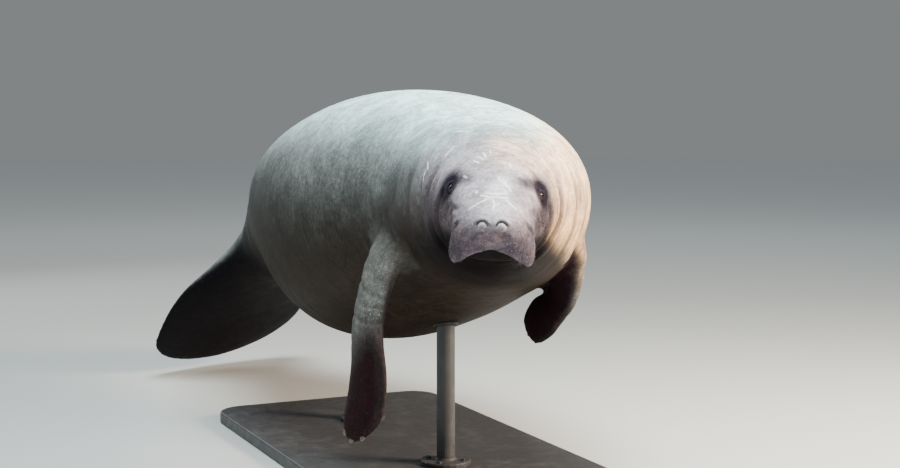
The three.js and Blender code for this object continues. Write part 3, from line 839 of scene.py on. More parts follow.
@dataclass
class Skin:
    """The hide over the whole body, one closed surface."""

    body: BodyForm
    voxel: float = 0.006
    triangles: int = 192000
    eye: Eye = field(default_factory=Eye)
    nostril: Nostril = field(default_factory=Nostril)
    head_end: float = 0.37
    web: Web = field(default_factory=Web)
    shoulder_blend: float = 0.045
    limb_half_width: float = 0.055
    even_ease: float = 0.12
    bridge_station: float = 0.075
    eye_detail: float = 0.040
    nostril_detail: float = 0.030
    bridge_detail: float = 0.042
    REPLACED = (
        "snout", "lower_jaw", "head", "neck", "torso", "tail_stock", "tail_paddle",
        "flipper_right", "flipper_left",
    )

    def lofted(self) -> Piece:
        """The body, the flippers and the web behind the left one, as closed surfaces in one mesh."""
        stations = np.concatenate([
            self.body.snout.steps(16),
            np.arange(0.059, 0.45, 0.004),
            np.arange(0.45, 0.90, 0.008),
            np.arange(0.90, BODY_LENGTH - self.body.tail.depth, 0.014),
            BODY_LENGTH - self.body.tail.steps(24)[::-1],
        ])
        angles = 2 * math.pi * np.arange(180) / 180
        rings = self.body.mouthed(stations[:, None], angles[None, :])
        start = self.body.spine.point(np.array(0.0))
        pieces = [ring_mesh("hide", rings, start, self.body.spine.point(np.array(BODY_LENGTH)))]
        for flipper in FLIPPERS:
            limb = flipper.rings(self.body, 64, 80)
            centre, _, lead, _ = flipper.frame(self.body, np.array([0.0, 1.0]))
            tip = centre[1] + lead[1] * flipper.SECTIONS[-1][3]
            pieces.append(ring_mesh("limb", limb, centre[0], tip))
        pieces.append(add_ball(self.web.centre(self.body), self.web.radius, 32, 20))
        bpy.ops.object.transform_apply(location=True, rotation=True, scale=True)
        for piece in pieces:
            select_only(piece)
            bpy.ops.object.mode_set(mode="EDIT")
            bpy.ops.mesh.select_all(action="SELECT")
            bpy.ops.mesh.normals_make_consistent(inside=False)
            bpy.ops.object.mode_set(mode="OBJECT")
        select_only(pieces[0])
        for piece in pieces[1:]:
            piece.select_set(True)
        bpy.ops.object.join()
        return pieces[0]

    def fuse(self, hide: Piece) -> None:
        """Makes one surface of the body, flippers and web, and rounds off where they meet."""
        apply_modifier(hide, "REMESH", mode="VOXEL", voxel_size=self.voxel)
        points = vertex_points(hide)
        stations, across, height = self.body.coordinates(points)
        half_width = self.body.section(stations)[:, 0]
        from_body = (self.body.depth_share(stations, across, height) - 1) * half_width
        nearness = np.full(len(points), self.even_ease)
        for flipper in FLIPPERS:
            share, chord, thick = flipper.coordinates(self.body, points)
            from_limb = (np.hypot(chord, thick) - 1) * self.limb_half_width
            reach = np.exp(-((from_body / self.shoulder_blend) ** 2) - (from_limb / self.shoulder_blend) ** 2)
            nearness = np.maximum(nearness, np.where((share < 0.8) & (share > 0.02), reach, 0))
        from_web = np.linalg.norm(points - self.web.centre(self.body), axis=1)
        nearness = np.maximum(nearness, 0.7 * smoothstep(from_web, self.web.radius * 1.8, self.web.radius))
        smooth_vertices(hide, nearness, rounds=45)

    def refine(self, hide: Piece) -> None:
        """Gives the head, and then the eyes, nostrils and bridge, smaller faces."""
        stations = self.body.coordinates(vertex_points(hide))[0]
        subdivide_vertices(hide, stations < self.head_end)
        points = vertex_points(hide)
        spots = [(self.bridge_station, 0.0, self.bridge_detail)]
        for side in Side:
            spots.append((self.eye.station, side.value * self.eye.angle, self.eye_detail))
            spots.append((self.nostril.station, side.value * self.nostril.angle, self.nostril_detail))
        close = np.zeros(len(points), bool)
        for station, degrees, reach in spots:
            close |= np.linalg.norm(points - self.body.place(station, degrees), axis=1) < reach
        subdivide_vertices(hide, close)
        stations = self.body.coordinates(vertex_points(hide))[0]
        smooth_vertices(hide, (stations < self.head_end + 0.01) * 0.9, rounds=4)

    def fold(self, hide: Piece) -> None:
        """Presses the folds into the skin."""
        points, normals = vertex_points(hide), vertex_normals(hide)
        rise = np.zeros(len(points))
        for each in FOLDS + LIMB_FOLDS:
            for path in each.paths(self.body):
                near, away, taper = self.by_path(points, path, each.width * 4)
                groove = -each.depth * np.exp(-((away / each.width) ** 2))
                roll = each.depth * each.roll * np.exp(-(((away - 2 * each.width) / each.width) ** 2))
                rise[near] += (groove + roll) * taper
        move_vertices(hide, points + normals * rise[:, None])

    def by_path(self, points: np.ndarray, path: np.ndarray, reach: float) -> tuple[np.ndarray, ...]:
        """The points close to a path.

        Args:
            points: All the points.
            path: The path's own points.
            reach: How far from the path's box a point may be.

        Returns:
            Which points are near, and for those their distance and a share that fades at the path's ends.
        """
        near = np.all((points > path.min(0) - reach) & (points < path.max(0) + reach), axis=1)
        away, share = away_from_path(points[near], path)
        return near, away, smoothstep(share, 0, 0.25) * smoothstep(share, 1, 0.75)

    def open_eyes(self, hide: Piece) -> None:
        """Raises the lids, ripples them and sinks the skin behind each eye."""
        points = vertex_points(hide)
        eye = self.eye
        for side in Side:
            centre, outward, forward, _ = self.body.seat(eye.station, side.value * eye.angle)
            along = unit(forward - outward * np.dot(forward, outward))
            upward = np.cross(outward, along)
            offset = points - centre
            near = np.linalg.norm(offset, axis=1) < eye.reach
            u, w = offset[near] @ along, offset[near] @ upward
            turn = np.arctan2(w, u)
            uneven = 1 + 0.05 * np.sin(2 * turn + 0.6) + 0.03 * np.sin(5 * turn)
            radius = np.hypot(u / eye.opening[0], w / eye.opening[1]) * uneven
            rise = np.interp(radius, eye.lid_radii, eye.lid_heights)
            waver = 1.6 * np.sin(3 * turn + side.value) + 0.8 * np.sin(7 * turn)
            ripple = eye.ripple * np.sin(radius * 900 + waver)
            rise = rise + ripple * smoothstep(radius, 0.012, 0.020) * smoothstep(radius, 0.050, 0.030)
            spokes = eye.spoke * np.sin(13 * turn + 1.2 * np.sin(2 * turn) + 90 * radius)
            rise = rise + spokes * smoothstep(radius, 0.0065, 0.0095) * smoothstep(radius, 0.024, 0.013)
            points[near] += outward * rise[:, None]
        move_vertices(hide, points)

    def open_nostrils(self, hide: Piece) -> None:
        """Cuts the crescent slits and raises the round valves under them."""
        points = vertex_points(hide)
        n = self.nostril
        for side in Side:
            centre, outward, _, up = self.body.seat(n.station, side.value * n.angle)
            up = unit(up - outward * np.dot(up, outward))
            offset = points - centre
            near = np.linalg.norm(offset, axis=1) < n.reach
            u, w = offset[near] @ np.cross(up, outward), offset[near] @ up
            radius, turn = np.hypot(u, w), np.degrees(np.arctan2(u, w))
            span = smoothstep(np.abs(turn), n.slit_span, n.slit_span * 0.6)
            from_slit = radius - n.slit_radius
            slit = -n.slit_depth * np.exp(-((from_slit / n.slit_width) ** 2)) * span
            slit = slit - n.moat_depth * np.exp(-((from_slit / (1.5 * n.slit_width)) ** 2))
            valve = n.valve_rise * np.clip(1 - (radius / n.slit_radius) ** 2, 0, 1)
            rim = n.rim_rise * np.exp(-(((from_slit - n.rim_gap) / n.rim_width) ** 2)) * span
            points[near] += outward * (slit + valve + rim)[:, None]
        move_vertices(hide, points)

    def soften(self, hide: Piece) -> None:
        """Rounds the edge of the lips and the rims of tail and flippers, and eases the whole front."""
        points = vertex_points(hide)
        stations, across, height = self.body.coordinates(points)
        from_lip = np.abs(self.body.mouth.line(across) - height)
        lips = smoothstep(from_lip, 0.020, 0.006) * (stations < MOUTH_CORNER + 0.01)
        smooth_vertices(hide, lips, rounds=14)
        rims = smoothstep(stations, 2.30, 2.50)
        for flipper in FLIPPERS:
            share, _, _, close = flipper.zone(self.body, points)
            rims = np.maximum(rims, close * smoothstep(share, 0.55, 0.70))
        smooth_vertices(hide, rims, rounds=5)
        smooth_vertices(hide, (stations < 1.2) * 0.7, rounds=2)

    def thin_out(self, hide: Piece) -> None:
        """Evens the tail's rim, and takes faces out of the plain stretches behind the head."""
        points = vertex_points(hide)
        stations, across, _ = self.body.coordinates(points)
        rim = np.abs(across) / self.body.section(stations)[:, 0]
        rim = rim / self.body.tail.share(BODY_LENGTH - stations)
        rim = smoothstep(rim, 0.80, 0.93) * smoothstep(stations, 2.35, 2.50)
        rim = np.maximum(rim, smoothstep(stations, BODY_LENGTH - 0.06, BODY_LENGTH - 0.03))
        smooth_vertices(hide, rim, rounds=16)
        for flipper in FLIPPERS:
            share, _, _, close = flipper.zone(self.body, points)
            rim = np.maximum(rim, close * smoothstep(share, 0.46, 0.58))
        count = sum(len(p.vertices) - 2 for p in hide.data.polygons)
        plain = smoothstep(stations, self.head_end, self.head_end + 0.25) * (1 - rim)
        weigh_vertices(hide, "plain", plain * 0.95 + 0.05)
        apply_modifier(
            hide, "DECIMATE", ratio=self.triangles / count, vertex_group="plain",
            use_collapse_triangulate=True,
        )
        hide.vertex_groups.clear()
        log.info("skin thinned from %d triangles to %d", count, len(hide.data.polygons))

    def body_regions(self, lie: Lie) -> dict[str, np.ndarray]:
        """The broad regions of tone: the painted light of the back and the sunlit left side, and the painted
        shade of the belly, cheeks, tail and flippers.

        Each pair of numbers is where a region starts and where it is full, in metres or degrees.

        Args:
            lie: Where the skin's vertices lie.

        Returns:
            A share for each vertex, by the region's name.
        """
        points, stations, across, height = lie.points, lie.stations, lie.across, lie.height
        above, below = self.body.section(stations)[:, 1:3].T
        # Painted light from above: the back grows paler towards the top.
        back = smoothstep(height / above, 0.27, 1.00) * smoothstep(stations, 0.20, 0.60)
        bearing, girth = lie.bearing, np.abs(lie.bearing)
        # Painted sunlight: a warm, streaked pool of light on the left shoulder and neck.
        warm = smoothstep(bearing, 14, 50) * smoothstep(bearing, 131, 113)
        warm = warm * smoothstep(stations, 0.205, 0.275) * smoothstep(stations, 1.45, 0.65)
        # Painted shade: the lower flanks and underside go dark from the girth down, less under the painted
        # sunlight.
        belly = smoothstep(girth, 56, 126) * smoothstep(stations, 0.14, 0.42) * (1 - 0.92 * warm)
        # Painted shade on the sides of the face behind the lip pads.
        cheek = smoothstep(girth, 46, 102) * smoothstep(stations, 0.05, 0.10)
        cheek = cheek * smoothstep(stations, 0.40, 0.24)
        # Painted shade under the tail.
        dark = smoothstep(stations, 2.10, 2.42) * smoothstep(height / below, 0.30, -0.10)
        limb = np.zeros(len(points))
        for flipper in FLIPPERS:
            share, chord, thick, close = flipper.zone(self.body, points)
            root = 0.12 if flipper.side is Side.RIGHT else 0.0
            within = close & (share > root)
            limb = np.where(within, smoothstep(share, 0.12, 0.30), limb)
            rimmed = 0.86 + 0.14 * smoothstep(np.abs(chord), 1.0, 0.5)
            # Painted shade on the flippers: darker towards the fingertips and on the palm side, a little less
            # at the edges.
            tip = smoothstep(share + 0.08 * chord, 0.45, 0.70) * rimmed
            palm = smoothstep(thick, 0.3, -0.5) * smoothstep(share, root, root * 2.5 + 0.12)
            dark = np.where(within, np.maximum(dark, np.maximum(tip, palm)), dark)
            belly = np.where(within & (share > 0.12), belly * smoothstep(share, 0.35, 0.12), belly)
        # Painted warm light on the brow, added to the painted sunlight at half strength.
        brow = smoothstep(bearing, -26, 12) * smoothstep(bearing, 70, 40) * smoothstep(stations, 0.15, 0.21)
        return {
            "back": back * smoothstep(stations, 2.7, 2.2),
            "cheek": cheek * np.where(across > 0, 0.97, 0.76),
            "belly": belly,
            "amber": warm * smoothstep(bearing, 82, 108) * smoothstep(stations, 0.95, 0.60),
            "dark": dark,
            "limb": limb,
            "warm": np.maximum(warm, 0.5 * brow * smoothstep(stations, 0.42, 0.28)),
        }

    def face_regions(self, lie: Lie) -> dict[str, np.ndarray]:
        """The regions of the face: eye patches, the painted shade under the mouth and of the lip pads,
        nostril valves, and the painted highlight of the bridge.

        Each pair of numbers is where a region starts and where it is full, in metres or degrees.

        Args:
            lie: Where the skin's vertices lie.

        Returns:
            A share for each vertex, by the region's name.
        """
        points, stations, across, height = lie.points, lie.stations, lie.across, lie.height
        girth = np.abs(lie.bearing)
        patch, valves = np.zeros(len(points)), np.zeros(len(points))
        for side, fade, shift, turn in ((Side.RIGHT, 0.30, 0.010, 2), (Side.LEFT, 0.10, 0.005, -2)):
            path = np.stack([self.body.place(s, side.value * a) for s, a in EYE_BAND])
            away, share = away_from_path(points, path)
            band = smoothstep(away, 0.040 - 0.008 * share, 0.004)
            band = band * (0.92 - fade * smoothstep(share, 0.3, 1.0))
            socket = self.body.place(self.eye.station + shift, side.value * (self.eye.angle + turn))
            patch = np.maximum(patch, np.maximum(band, lie.near(socket, 0.062, 0.024)))
            valve = self.body.place(self.nostril.station, side.value * self.nostril.angle, 0.003)
            valves = np.maximum(valves, lie.near(valve, 0.0125, 0.006))
        # Painted shade under the arch of the upper lip, and on the throat and chest under the head.
        under_lip = smoothstep(self.body.mouth.line(across) - height, -0.001, 0.006)
        throat = smoothstep(girth, 104, 136) * smoothstep(stations, 0.60, 0.30)
        # Painted shade darkens the lip pads and the tip of the snout, over their own purplish tone.
        pads = smoothstep(stations, 0.092, 0.030) * smoothstep(girth, 24, 82)
        # Painted highlight along the crest of the bridge.
        away, _ = away_from_path(points, np.stack([self.body.place(s, a) for s, a in BRIDGE]))
        return {
            "patch": patch,
            "jaw": np.where(stations < MOUTH_CORNER, under_lip, throat),
            "valves": valves,
            "pads": np.maximum(pads, 0.85 * smoothstep(stations, 0.016, 0.005)),
            "face": smoothstep(stations, 0.50, 0.16),
            "bridge": smoothstep(away, 0.046, 0.006),
        }

    def lines(self, points: np.ndarray) -> dict[str, np.ndarray]:
        """The scars and the shaded bottoms of the folds, as shares for each vertex."""
        scars, grooves = np.zeros(len(points)), np.zeros(len(points))
        for line, width in SCARS:
            stations, degrees = np.array(line).T
            away, share = away_from_path(points, self.body.skin(stations, np.radians(degrees)))
            fade = smoothstep(share, -0.1, 0.2) * smoothstep(share, 1.1, 0.8)
            scars = np.maximum(scars, np.exp(-((away / (width * 0.62)) ** 2)) * (0.55 + 0.45 * fade))
        for each in FOLDS + LIMB_FOLDS:
            for path in each.paths(self.body):
                near, away, taper = self.by_path(points, path, each.width * 3)
                deep = np.exp(-((np.maximum(away - each.depth, 0) / (each.width * 0.8)) ** 2)) * taper
                grooves[near] = np.maximum(grooves[near], deep * min(1.0, each.depth / 0.006))
        return {"scars": scars, "grooves": grooves}

    def mark(self, hide: Piece) -> None:
        """Keeps the body's own coordinates and the regions of colour as attributes."""
        points = vertex_points(hide)
        lie = Lie(points, *self.body.coordinates(points))
        store_values(hide, "lie", np.stack([lie.across, lie.stations, lie.height], -1))
        regions = self.body_regions(lie) | self.face_regions(lie) | self.lines(points)
        for name, values in regions.items():
            store_values(hide, name, values)

    def build(self) -> Piece:
        """The finished hide."""
        hide = self.lofted()
        for step in (self.fuse, self.refine, self.fold, self.open_nostrils, self.soften, self.open_eyes,
                     self.thin_out, self.mark):
            step(hide)
        select_only(hide)
        bpy.ops.object.shade_smooth()
        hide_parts(*self.REPLACED)
        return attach(hide, ROOT)


class Nodes:
    """A short way to write a material's nodes."""

    def __init__(self, name: str) -> None:
        """Starts a material with its shader."""
        self.material = bpy.data.materials.new(name)
        self.material.use_nodes = True
        self.tree = self.material.node_tree
        self.shader = self.tree.nodes["Principled BSDF"]

    def add(self, kind: str, settings: dict | None = None, **inputs: object) -> bpy.types.Node:
        """Adds a node.

        Args:
            kind: The node's type, without its ShaderNode prefix.
            settings: Properties of the node.
            inputs: Values or sockets for its inputs, whose names have _ for a space.

        Returns:
            The node.
        """
        node = self.tree.nodes.new("ShaderNode" + kind)
        for key, value in (settings or {}).items():
            setattr(node, key, value)
        for key, value in inputs.items():
            self.feed(node.inputs[key.replace("_", " ")], value)
        return node

    def feed(self, socket: Socket, value: object) -> None:
        """Links a socket to an input, or sets its value."""
        if isinstance(value, Socket):
            self.tree.links.new(value, socket)
        else:
            socket.default_value = value

    def attribute(self, name: str) -> Socket:
        """A number that each vertex holds."""
        return self.add("Attribute", {"attribute_name": name}).outputs["Fac"]

    def vector(self, name: str) -> Socket:
        """A vector that each vertex holds."""
        return self.add("Attribute", {"attribute_name": name}).outputs["Vector"]

    def place(self) -> Socket:
        """Object coordinates."""
        return self.add("TexCoord").outputs["Object"]

    def stretch(self, vector: Socket, scale: tuple[float, float, float]) -> Socket:
        """Coordinates scaled along each axis."""
        return self.add("Mapping", Vector=vector, Scale=scale).outputs["Vector"]

    def noise(self, vector: Socket, scale: float, detail: float = 3.0,
              roughness: float = 0.5, distortion: float = 0.0) -> Socket:
        """Soft noise from 0 to 1."""
        node = self.add("TexNoise", Vector=vector, Scale=scale, Detail=detail, Roughness=roughness,
                        Distortion=distortion)
        return node.outputs["Fac"]

    def cells(self, vector: Socket, scale: float) -> Socket:
        """Distance within cells to their edges."""
        node = self.add("TexVoronoi", {"feature": "DISTANCE_TO_EDGE"}, Vector=vector, Scale=scale)
        return node.outputs["Distance"]

    def span(self, value: Socket, low: float, high: float, to_low: float = 0.0,
             to_high: float = 1.0) -> Socket:
        """A value mapped from one range to another, smoothly and clamped."""
        node = self.add("MapRange", {"interpolation_type": "SMOOTHSTEP"}, Value=value)
        for name, number in zip(("From Min", "From Max", "To Min", "To Max"), (low, high, to_low, to_high)):
            node.inputs[name].default_value = number
        return node.outputs["Result"]

    def math(self, operation: str, a: object, b: object = 0.5) -> Socket:
        """An operation on two numbers."""
        node = self.add("Math", {"operation": operation})
        self.feed(node.inputs[0], a)
        self.feed(node.inputs[1], b)
        return node.outputs["Value"]

    def times(self, a: object, b: object) -> Socket:
        """The product of two numbers."""
        return self.math("MULTIPLY", a, b)

    def blend(self, share: object, a: object, b: object, way: str = "MIX") -> Socket:
        """Two colours mixed by a share."""
        node = self.add("Mix", {"data_type": "RGBA", "blend_type": way})
        self.feed(node.inputs["Factor"], share)
        self.feed(node.inputs[6], a)
        self.feed(node.inputs[7], b)
        return node.outputs[2]

    def tint(self, base: object, region: str, share: object, tone: object) -> Socket:
        """A tone laid over one of the mesh's own regions, as strongly as a share says."""
        return self.blend(self.times(self.attribute(region), share), base, tone)

    def flecks(self, scale: float, detail: float, low: float, high: float, tones: tuple,
               roughness: float = 0.5) -> Socket:
        """The first of two tones with flecks of the second, where noise passes from low to high."""
        noise = self.noise(self.place(), scale, detail, roughness)
        return self.blend(self.span(noise, low, high), *tones)

    def drawn(self, lie: Socket, wide: float, close: float, detail: float, roughness: float,
              distortion: float) -> Socket:
        """Noise drawn out into strokes round the body, at one scale across them and one along it."""
        return self.noise(self.stretch(lie, (wide, close, wide)), 1.0, detail, roughness, distortion)

    def bump(self, height: Socket, distance: float, strength: float, normal: Socket | None = None) -> Socket:
        """A normal from a height, in metres, on top of another normal where one is given."""
        node = self.add("Bump", Height=height, Distance=distance, Strength=strength)
        if normal is not None:
            self.feed(node.inputs["Normal"], normal)
        return node.outputs["Normal"]

    def finish(self, **inputs: object) -> Material:
        """Feeds the shader's inputs."""
        for key, value in inputs.items():
            self.feed(self.shader.inputs[key.replace("_", " ")], value)
        return self.material


def colour(red: float, green: float, blue: float) -> tuple[float, float, float, float]:
    """An opaque colour from linear shares."""
    return (red, green, blue, 1.0)


@dataclass(frozen=True)
class HideFinish:
    """Finely wrinkled grey hide, with painted light paler on the back and warm on the sunlit left side, and
    painted shade brown under the belly and dark under the tail and on the hands.
    """

    grey: tuple = colour(0.148, 0.168, 0.168)
    # Painted light from above on the back.
    pale: tuple = colour(0.540, 0.730, 0.750)
    bloom: tuple = colour(0.330, 0.370, 0.370)
    # A dark tone for random clouds and pores, and painted shade in the fold bottoms.
    soot_and_crease_shade: tuple = colour(0.050, 0.042, 0.050)
    face: tuple = colour(0.340, 0.290, 0.330)
    # Painted shade on the sides of the face.
    cheek: tuple = colour(0.038, 0.027, 0.039)
    # Painted shade on the lip pads, over their purplish tone.
    pads: tuple = colour(0.058, 0.041, 0.066)
    # Painted highlight on the crest of the bridge.
    crest: tuple = colour(0.640, 0.620, 0.680)
    rosy: tuple = colour(0.330, 0.215, 0.215)
    # Painted shade under the belly.
    belly: tuple = colour(0.022, 0.012, 0.006)
    # Painted shade under the lips and on the throat.
    jaw: tuple = colour(0.003, 0.0015, 0.002)
    # Painted shade under the tail.
    tail: tuple = colour(0.004, 0.0035, 0.0055)
    limb: tuple = colour(0.088, 0.082, 0.074)
    # Painted shade on the hands.
    hand: tuple = colour(0.013, 0.0030, 0.0050)
    patch: tuple = colour(0.005, 0.003, 0.009)
    scar: tuple = colour(0.960, 0.940, 0.950)
    # Painted warm sunlight and its brightest rays.
    warm: tuple = colour(0.840, 0.570, 0.370)
    amber: tuple = colour(0.940, 0.600, 0.270)
    ember: tuple = colour(0.360, 0.200, 0.100)

    def material(self) -> Material:
        """The hide's material."""
        n = Nodes("hide")
        place, lie = n.place(), n.vector("lie")
        clouds = n.noise(place, 3.2, 4, 0.6)
        mottle = n.noise(place, 17, 6, 0.70, 0.5)
        grain = n.noise(place, 95, 5, 0.75, 0.3)
        strokes = n.drawn(lie, 16, 70, 6, 0.70, 1.6)
        base = self.regions(n, place, lie, clouds)
        for value, low, high in ((mottle, 0.70, 1.22), (grain, 0.74, 1.20), (strokes, 0.80, 1.12)):
            base = n.blend(1.0, base, n.span(value, 0.34, 0.66, low, high), "MULTIPLY")
        return n.finish(
            Base_Color=self.marks(n, place, base),
            Roughness=n.span(mottle, 0.3, 0.7, 0.48, 0.64),
            Normal=self.relief(n, place, lie, clouds, grain),
            Specular_IOR_Level=0.05,
        )

    def regions(self, n: Nodes, place: Socket, lie: Socket, clouds: Socket) -> Socket:
        """The tone of each region, one laid over another from the grey of the flanks.

        Args:
            n: The material's nodes.
            place: Object coordinates.
            lie: The body's own coordinates.
            clouds: Wide, soft noise.

        Returns:
            The colour.
        """
        # Painted light from above: paler and bluer on the back.
        base = n.tint(self.grey, "back", 1.0, self.pale)
        base = n.blend(n.span(clouds, 0.48, 0.72, 0.0, 0.35), base, self.bloom)
        base = n.blend(n.span(clouds, 0.50, 0.28, 0.0, 0.35), base, self.soot_and_crease_shade)
        # Streaks and rays of painted warm sunlight on the left shoulder.
        streaks = n.span(n.drawn(lie, 5, 42, 5, 0.65, 1.0), 0.38, 0.62, 0.42, 1.0)
        rays = n.span(n.drawn(lie, 4, 58, 4, 0.60, 0.8), 0.40, 0.60)
        blush = n.span(n.noise(place, 30, 5, 0.65, 0.4), 0.50, 0.68, 0.0, 0.40)
        # Painted shade: pads, cheek, belly and dark; painted light: back, warm and amber; painted highlight:
        # bridge.
        layers = (
            ("face", 0.80, self.face),
            ("pads", 0.85, self.pads),
            ("cheek", 1.0, self.cheek),
            ("warm", streaks, self.warm),
            ("amber", 0.68, n.blend(rays, self.ember, self.amber)),
            ("belly", 0.94, self.belly),
            ("limb", 0.75, self.limb),
            ("dark", 1.0, n.blend(n.attribute("limb"), self.tail, self.hand)),
            ("face", blush, self.rosy),
            ("valves", 0.55, self.face),
            ("bridge", 0.50, self.crest),
        )
        for region, share, tone in layers:
            base = n.tint(base, region, share, tone)
        return base

    def marks(self, n: Nodes, place: Socket, base: Socket) -> Socket:
        """The small marks over the tones: specks, pores, painted shade in the folds, eye patches, scars and
        painted shade under the lips and throat.

        Args:
            n: The material's nodes.
            place: Object coordinates.
            base: The colour that they lie on.

        Returns:
            The colour.
        """
        shade = n.math("MAXIMUM", n.attribute("belly"), n.attribute("patch"))
        shade = n.span(n.math("MAXIMUM", n.attribute("dark"), shade), 0.1, 0.8, 0.16, 0.015)
        specks = n.times(n.span(n.noise(place, 230, 2, 0.6), 0.60, 0.70), shade)
        base = n.blend(specks, base, self.scar)
        pores = n.noise(n.stretch(place, (1.0, 1.0, 0.6)), 150, 3, 0.6)
        base = n.blend(n.span(pores, 0.38, 0.28, 0.0, 0.45), base, self.soot_and_crease_shade)
        # Painted shade in the bottoms of the folds.
        base = n.tint(base, "grooves", 0.70, self.soot_and_crease_shade)
        base = n.tint(base, "patch", n.span(n.noise(place, 70, 3), 0.2, 0.6, 0.90, 1.0), self.patch)
        base = n.tint(base, "scars", n.span(n.noise(place, 130, 3, 0.7), 0.36, 0.56, 0.40, 1.0), self.scar)
        # Painted shade under the lips and on the throat.
        return n.tint(base, "jaw", 1.0, self.jaw)

    def relief(self, n: Nodes, place: Socket, lie: Socket, clouds: Socket, grain: Socket) -> Socket:
        """The fine relief: creases round the body, cracks, grain and pebbles.

        Args:
            n: The material's nodes.
            place: Object coordinates.
            lie: The body's own coordinates.
            clouds: Wide, soft noise that lets the creases fade in places.
            grain: Fine noise.

        Returns:
            The normal.
        """
        drift = n.add("TexNoise", Vector=place, Scale=38.0, Detail=3.0).outputs["Color"]
        shifted = n.add("VectorMath", {"operation": "MULTIPLY_ADD"})
        for socket, value in zip(shifted.inputs, (drift, (0.016, 0.016, 0.016), lie)):
            n.feed(socket, value)
        loose = shifted.outputs["Vector"]
        cracks = n.span(n.cells(n.stretch(loose, (62, 120, 62)), 1.0), 0.0, 0.10)
        pebbles = n.span(n.cells(n.stretch(loose, (250, 290, 250)), 1.0), 0.0, 0.35)
        creases = n.drawn(lie, 34, 96, 6, 0.72, 1.6)
        creases = n.times(creases, n.span(n.attribute("face"), 0.2, 0.9, 1.0, 0.35))
        creases = n.times(creases, n.span(clouds, 0.36, 0.64, 0.40, 1.0))
        normal = None
        for height, distance, strength in (
            (creases, 0.0022, 0.45), (cracks, 0.0006, 0.55), (grain, 0.0014, 0.6), (pebbles, 0.0004, 0.5),
        ):
            normal = n.bump(height, distance, strength, normal)
        return normal


@dataclass(frozen=True)
class StandFinish:
    """Charcoal powder coat with a fine orange-peel grain."""

    coat: tuple = colour(0.030, 0.031, 0.034)
    worn: tuple = colour(0.055, 0.056, 0.060)

    def material(self) -> Material:
        """The stand's material."""
        n = Nodes("stand_coat")
        base = n.flecks(14, 5, 0.45, 0.75, (self.coat, self.worn), roughness=0.7)
        normal = n.bump(n.noise(n.place(), 900, 2), 0.0002, 0.6)
        rough = n.span(n.noise(n.place(), 40, 3), 0.3, 0.7, 0.42, 0.55)
        return n.finish(Base_Color=base, Roughness=rough, Normal=normal)


@dataclass(frozen=True)
class EyeFinish:
    """A dark brown iris round a black pupil, under a soft gloss."""

    pupil: tuple = colour(0.002, 0.002, 0.002)
    iris: tuple = colour(0.018, 0.010, 0.007)
    white: tuple = colour(0.016, 0.012, 0.012)

    def material(self) -> Material:
        """The eyeball's material, over the angle from its axis."""
        n = Nodes("eyeball")
        rim = n.attribute("from_axis")
        fibres = n.noise(n.place(), 900, 3)
        iris = n.blend(n.times(fibres, 0.5), self.iris, self.pupil)
        base = n.blend(n.span(rim, 0.22, 0.26), self.pupil, iris)
        base = n.blend(n.span(rim, 0.55, 0.62), base, self.white)
        return n.finish(Base_Color=base, Roughness=0.14, Specular_IOR_Level=0.2)


@dataclass(frozen=True)
class NailFinish:
    """Worn horn with fine growth lines."""

    horn: tuple = colour(0.085, 0.071, 0.060)
    stain: tuple = colour(0.034, 0.027, 0.025)

    def material(self) -> Material:
        """The nails' material."""
        n = Nodes("nail_horn")
        base = n.flecks(160, 4, 0.4, 0.7, (self.horn, self.stain))
        normal = n.bump(n.noise(n.place(), 700, 3), 0.0004, 0.7)
        return n.finish(Base_Color=base, Roughness=0.42, Normal=normal)


@dataclass(frozen=True)
class BristleFinish:
    """Grey bristle, a little darker in places."""

    tone: tuple = colour(0.130, 0.112, 0.116)
    dull: tuple = colour(0.110, 0.095, 0.095)

    def material(self) -> Material:
        """The bristles' material."""
        n = Nodes("bristle")
        return n.finish(Base_Color=n.flecks(300, 2, 0.4, 0.6, (self.tone, self.dull)), Roughness=0.5)


@dataclass(frozen=True)
class ScrewFinish:
    """Blackened steel with a worn sheen."""

    steel: tuple = colour(0.110, 0.110, 0.115)
    worn: tuple = colour(0.300, 0.295, 0.290)

    def material(self) -> Material:
        """The screws' material."""
        n = Nodes("screw_steel")
        base = n.flecks(500, 4, 0.45, 0.8, (self.steel, self.worn))
        return n.finish(Base_Color=base, Metallic=1.0, Roughness=0.34)


@dataclass(frozen=True)
class CollarFinish:
    """Matt black rubber with faint dust."""

    rubber: tuple = colour(0.012, 0.012, 0.013)
    dust: tuple = colour(0.040, 0.039, 0.038)

    def material(self) -> Material:
        """The collars' material."""
        n = Nodes("collar_rubber")
        return n.finish(Base_Color=n.flecks(120, 4, 0.45, 0.8, (self.rubber, self.dust)), Roughness=0.68)


@dataclass
class Eyeball:
    """A smooth eyeball in place of the faceted one."""

    body: BodyForm
    side: Side
    eye: Eye = field(default_factory=Eye)
    ahead: float = 0.25

    def build(self, material: Material) -> Piece:
        """The eyeball, with its pupil on the outward axis."""
        eye = self.eye
        centre, outward, forward, _ = self.body.seat(eye.station, self.side.value * eye.angle, -eye.depth)
        gaze = Vector(unit(outward + forward * self.ahead))
        ball = add_ball(centre, eye.radius, 64, 40)
        ball.name = f"eyeball_{self.side.word}"
        ball.rotation_euler = gaze.to_track_quat("Z", "Y").to_euler()
        bpy.ops.object.transform_apply(location=True, rotation=True, scale=True)
        offset = unit(vertex_points(ball) - centre)
        store_values(ball, "from_axis", np.arccos(np.clip(offset @ np.array(gaze), -1, 1)))
        ball.data.materials.append(material)
        bpy.ops.object.shade_smooth()
        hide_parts(f"eye_{self.side.word}")
        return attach(ball, ROOT)


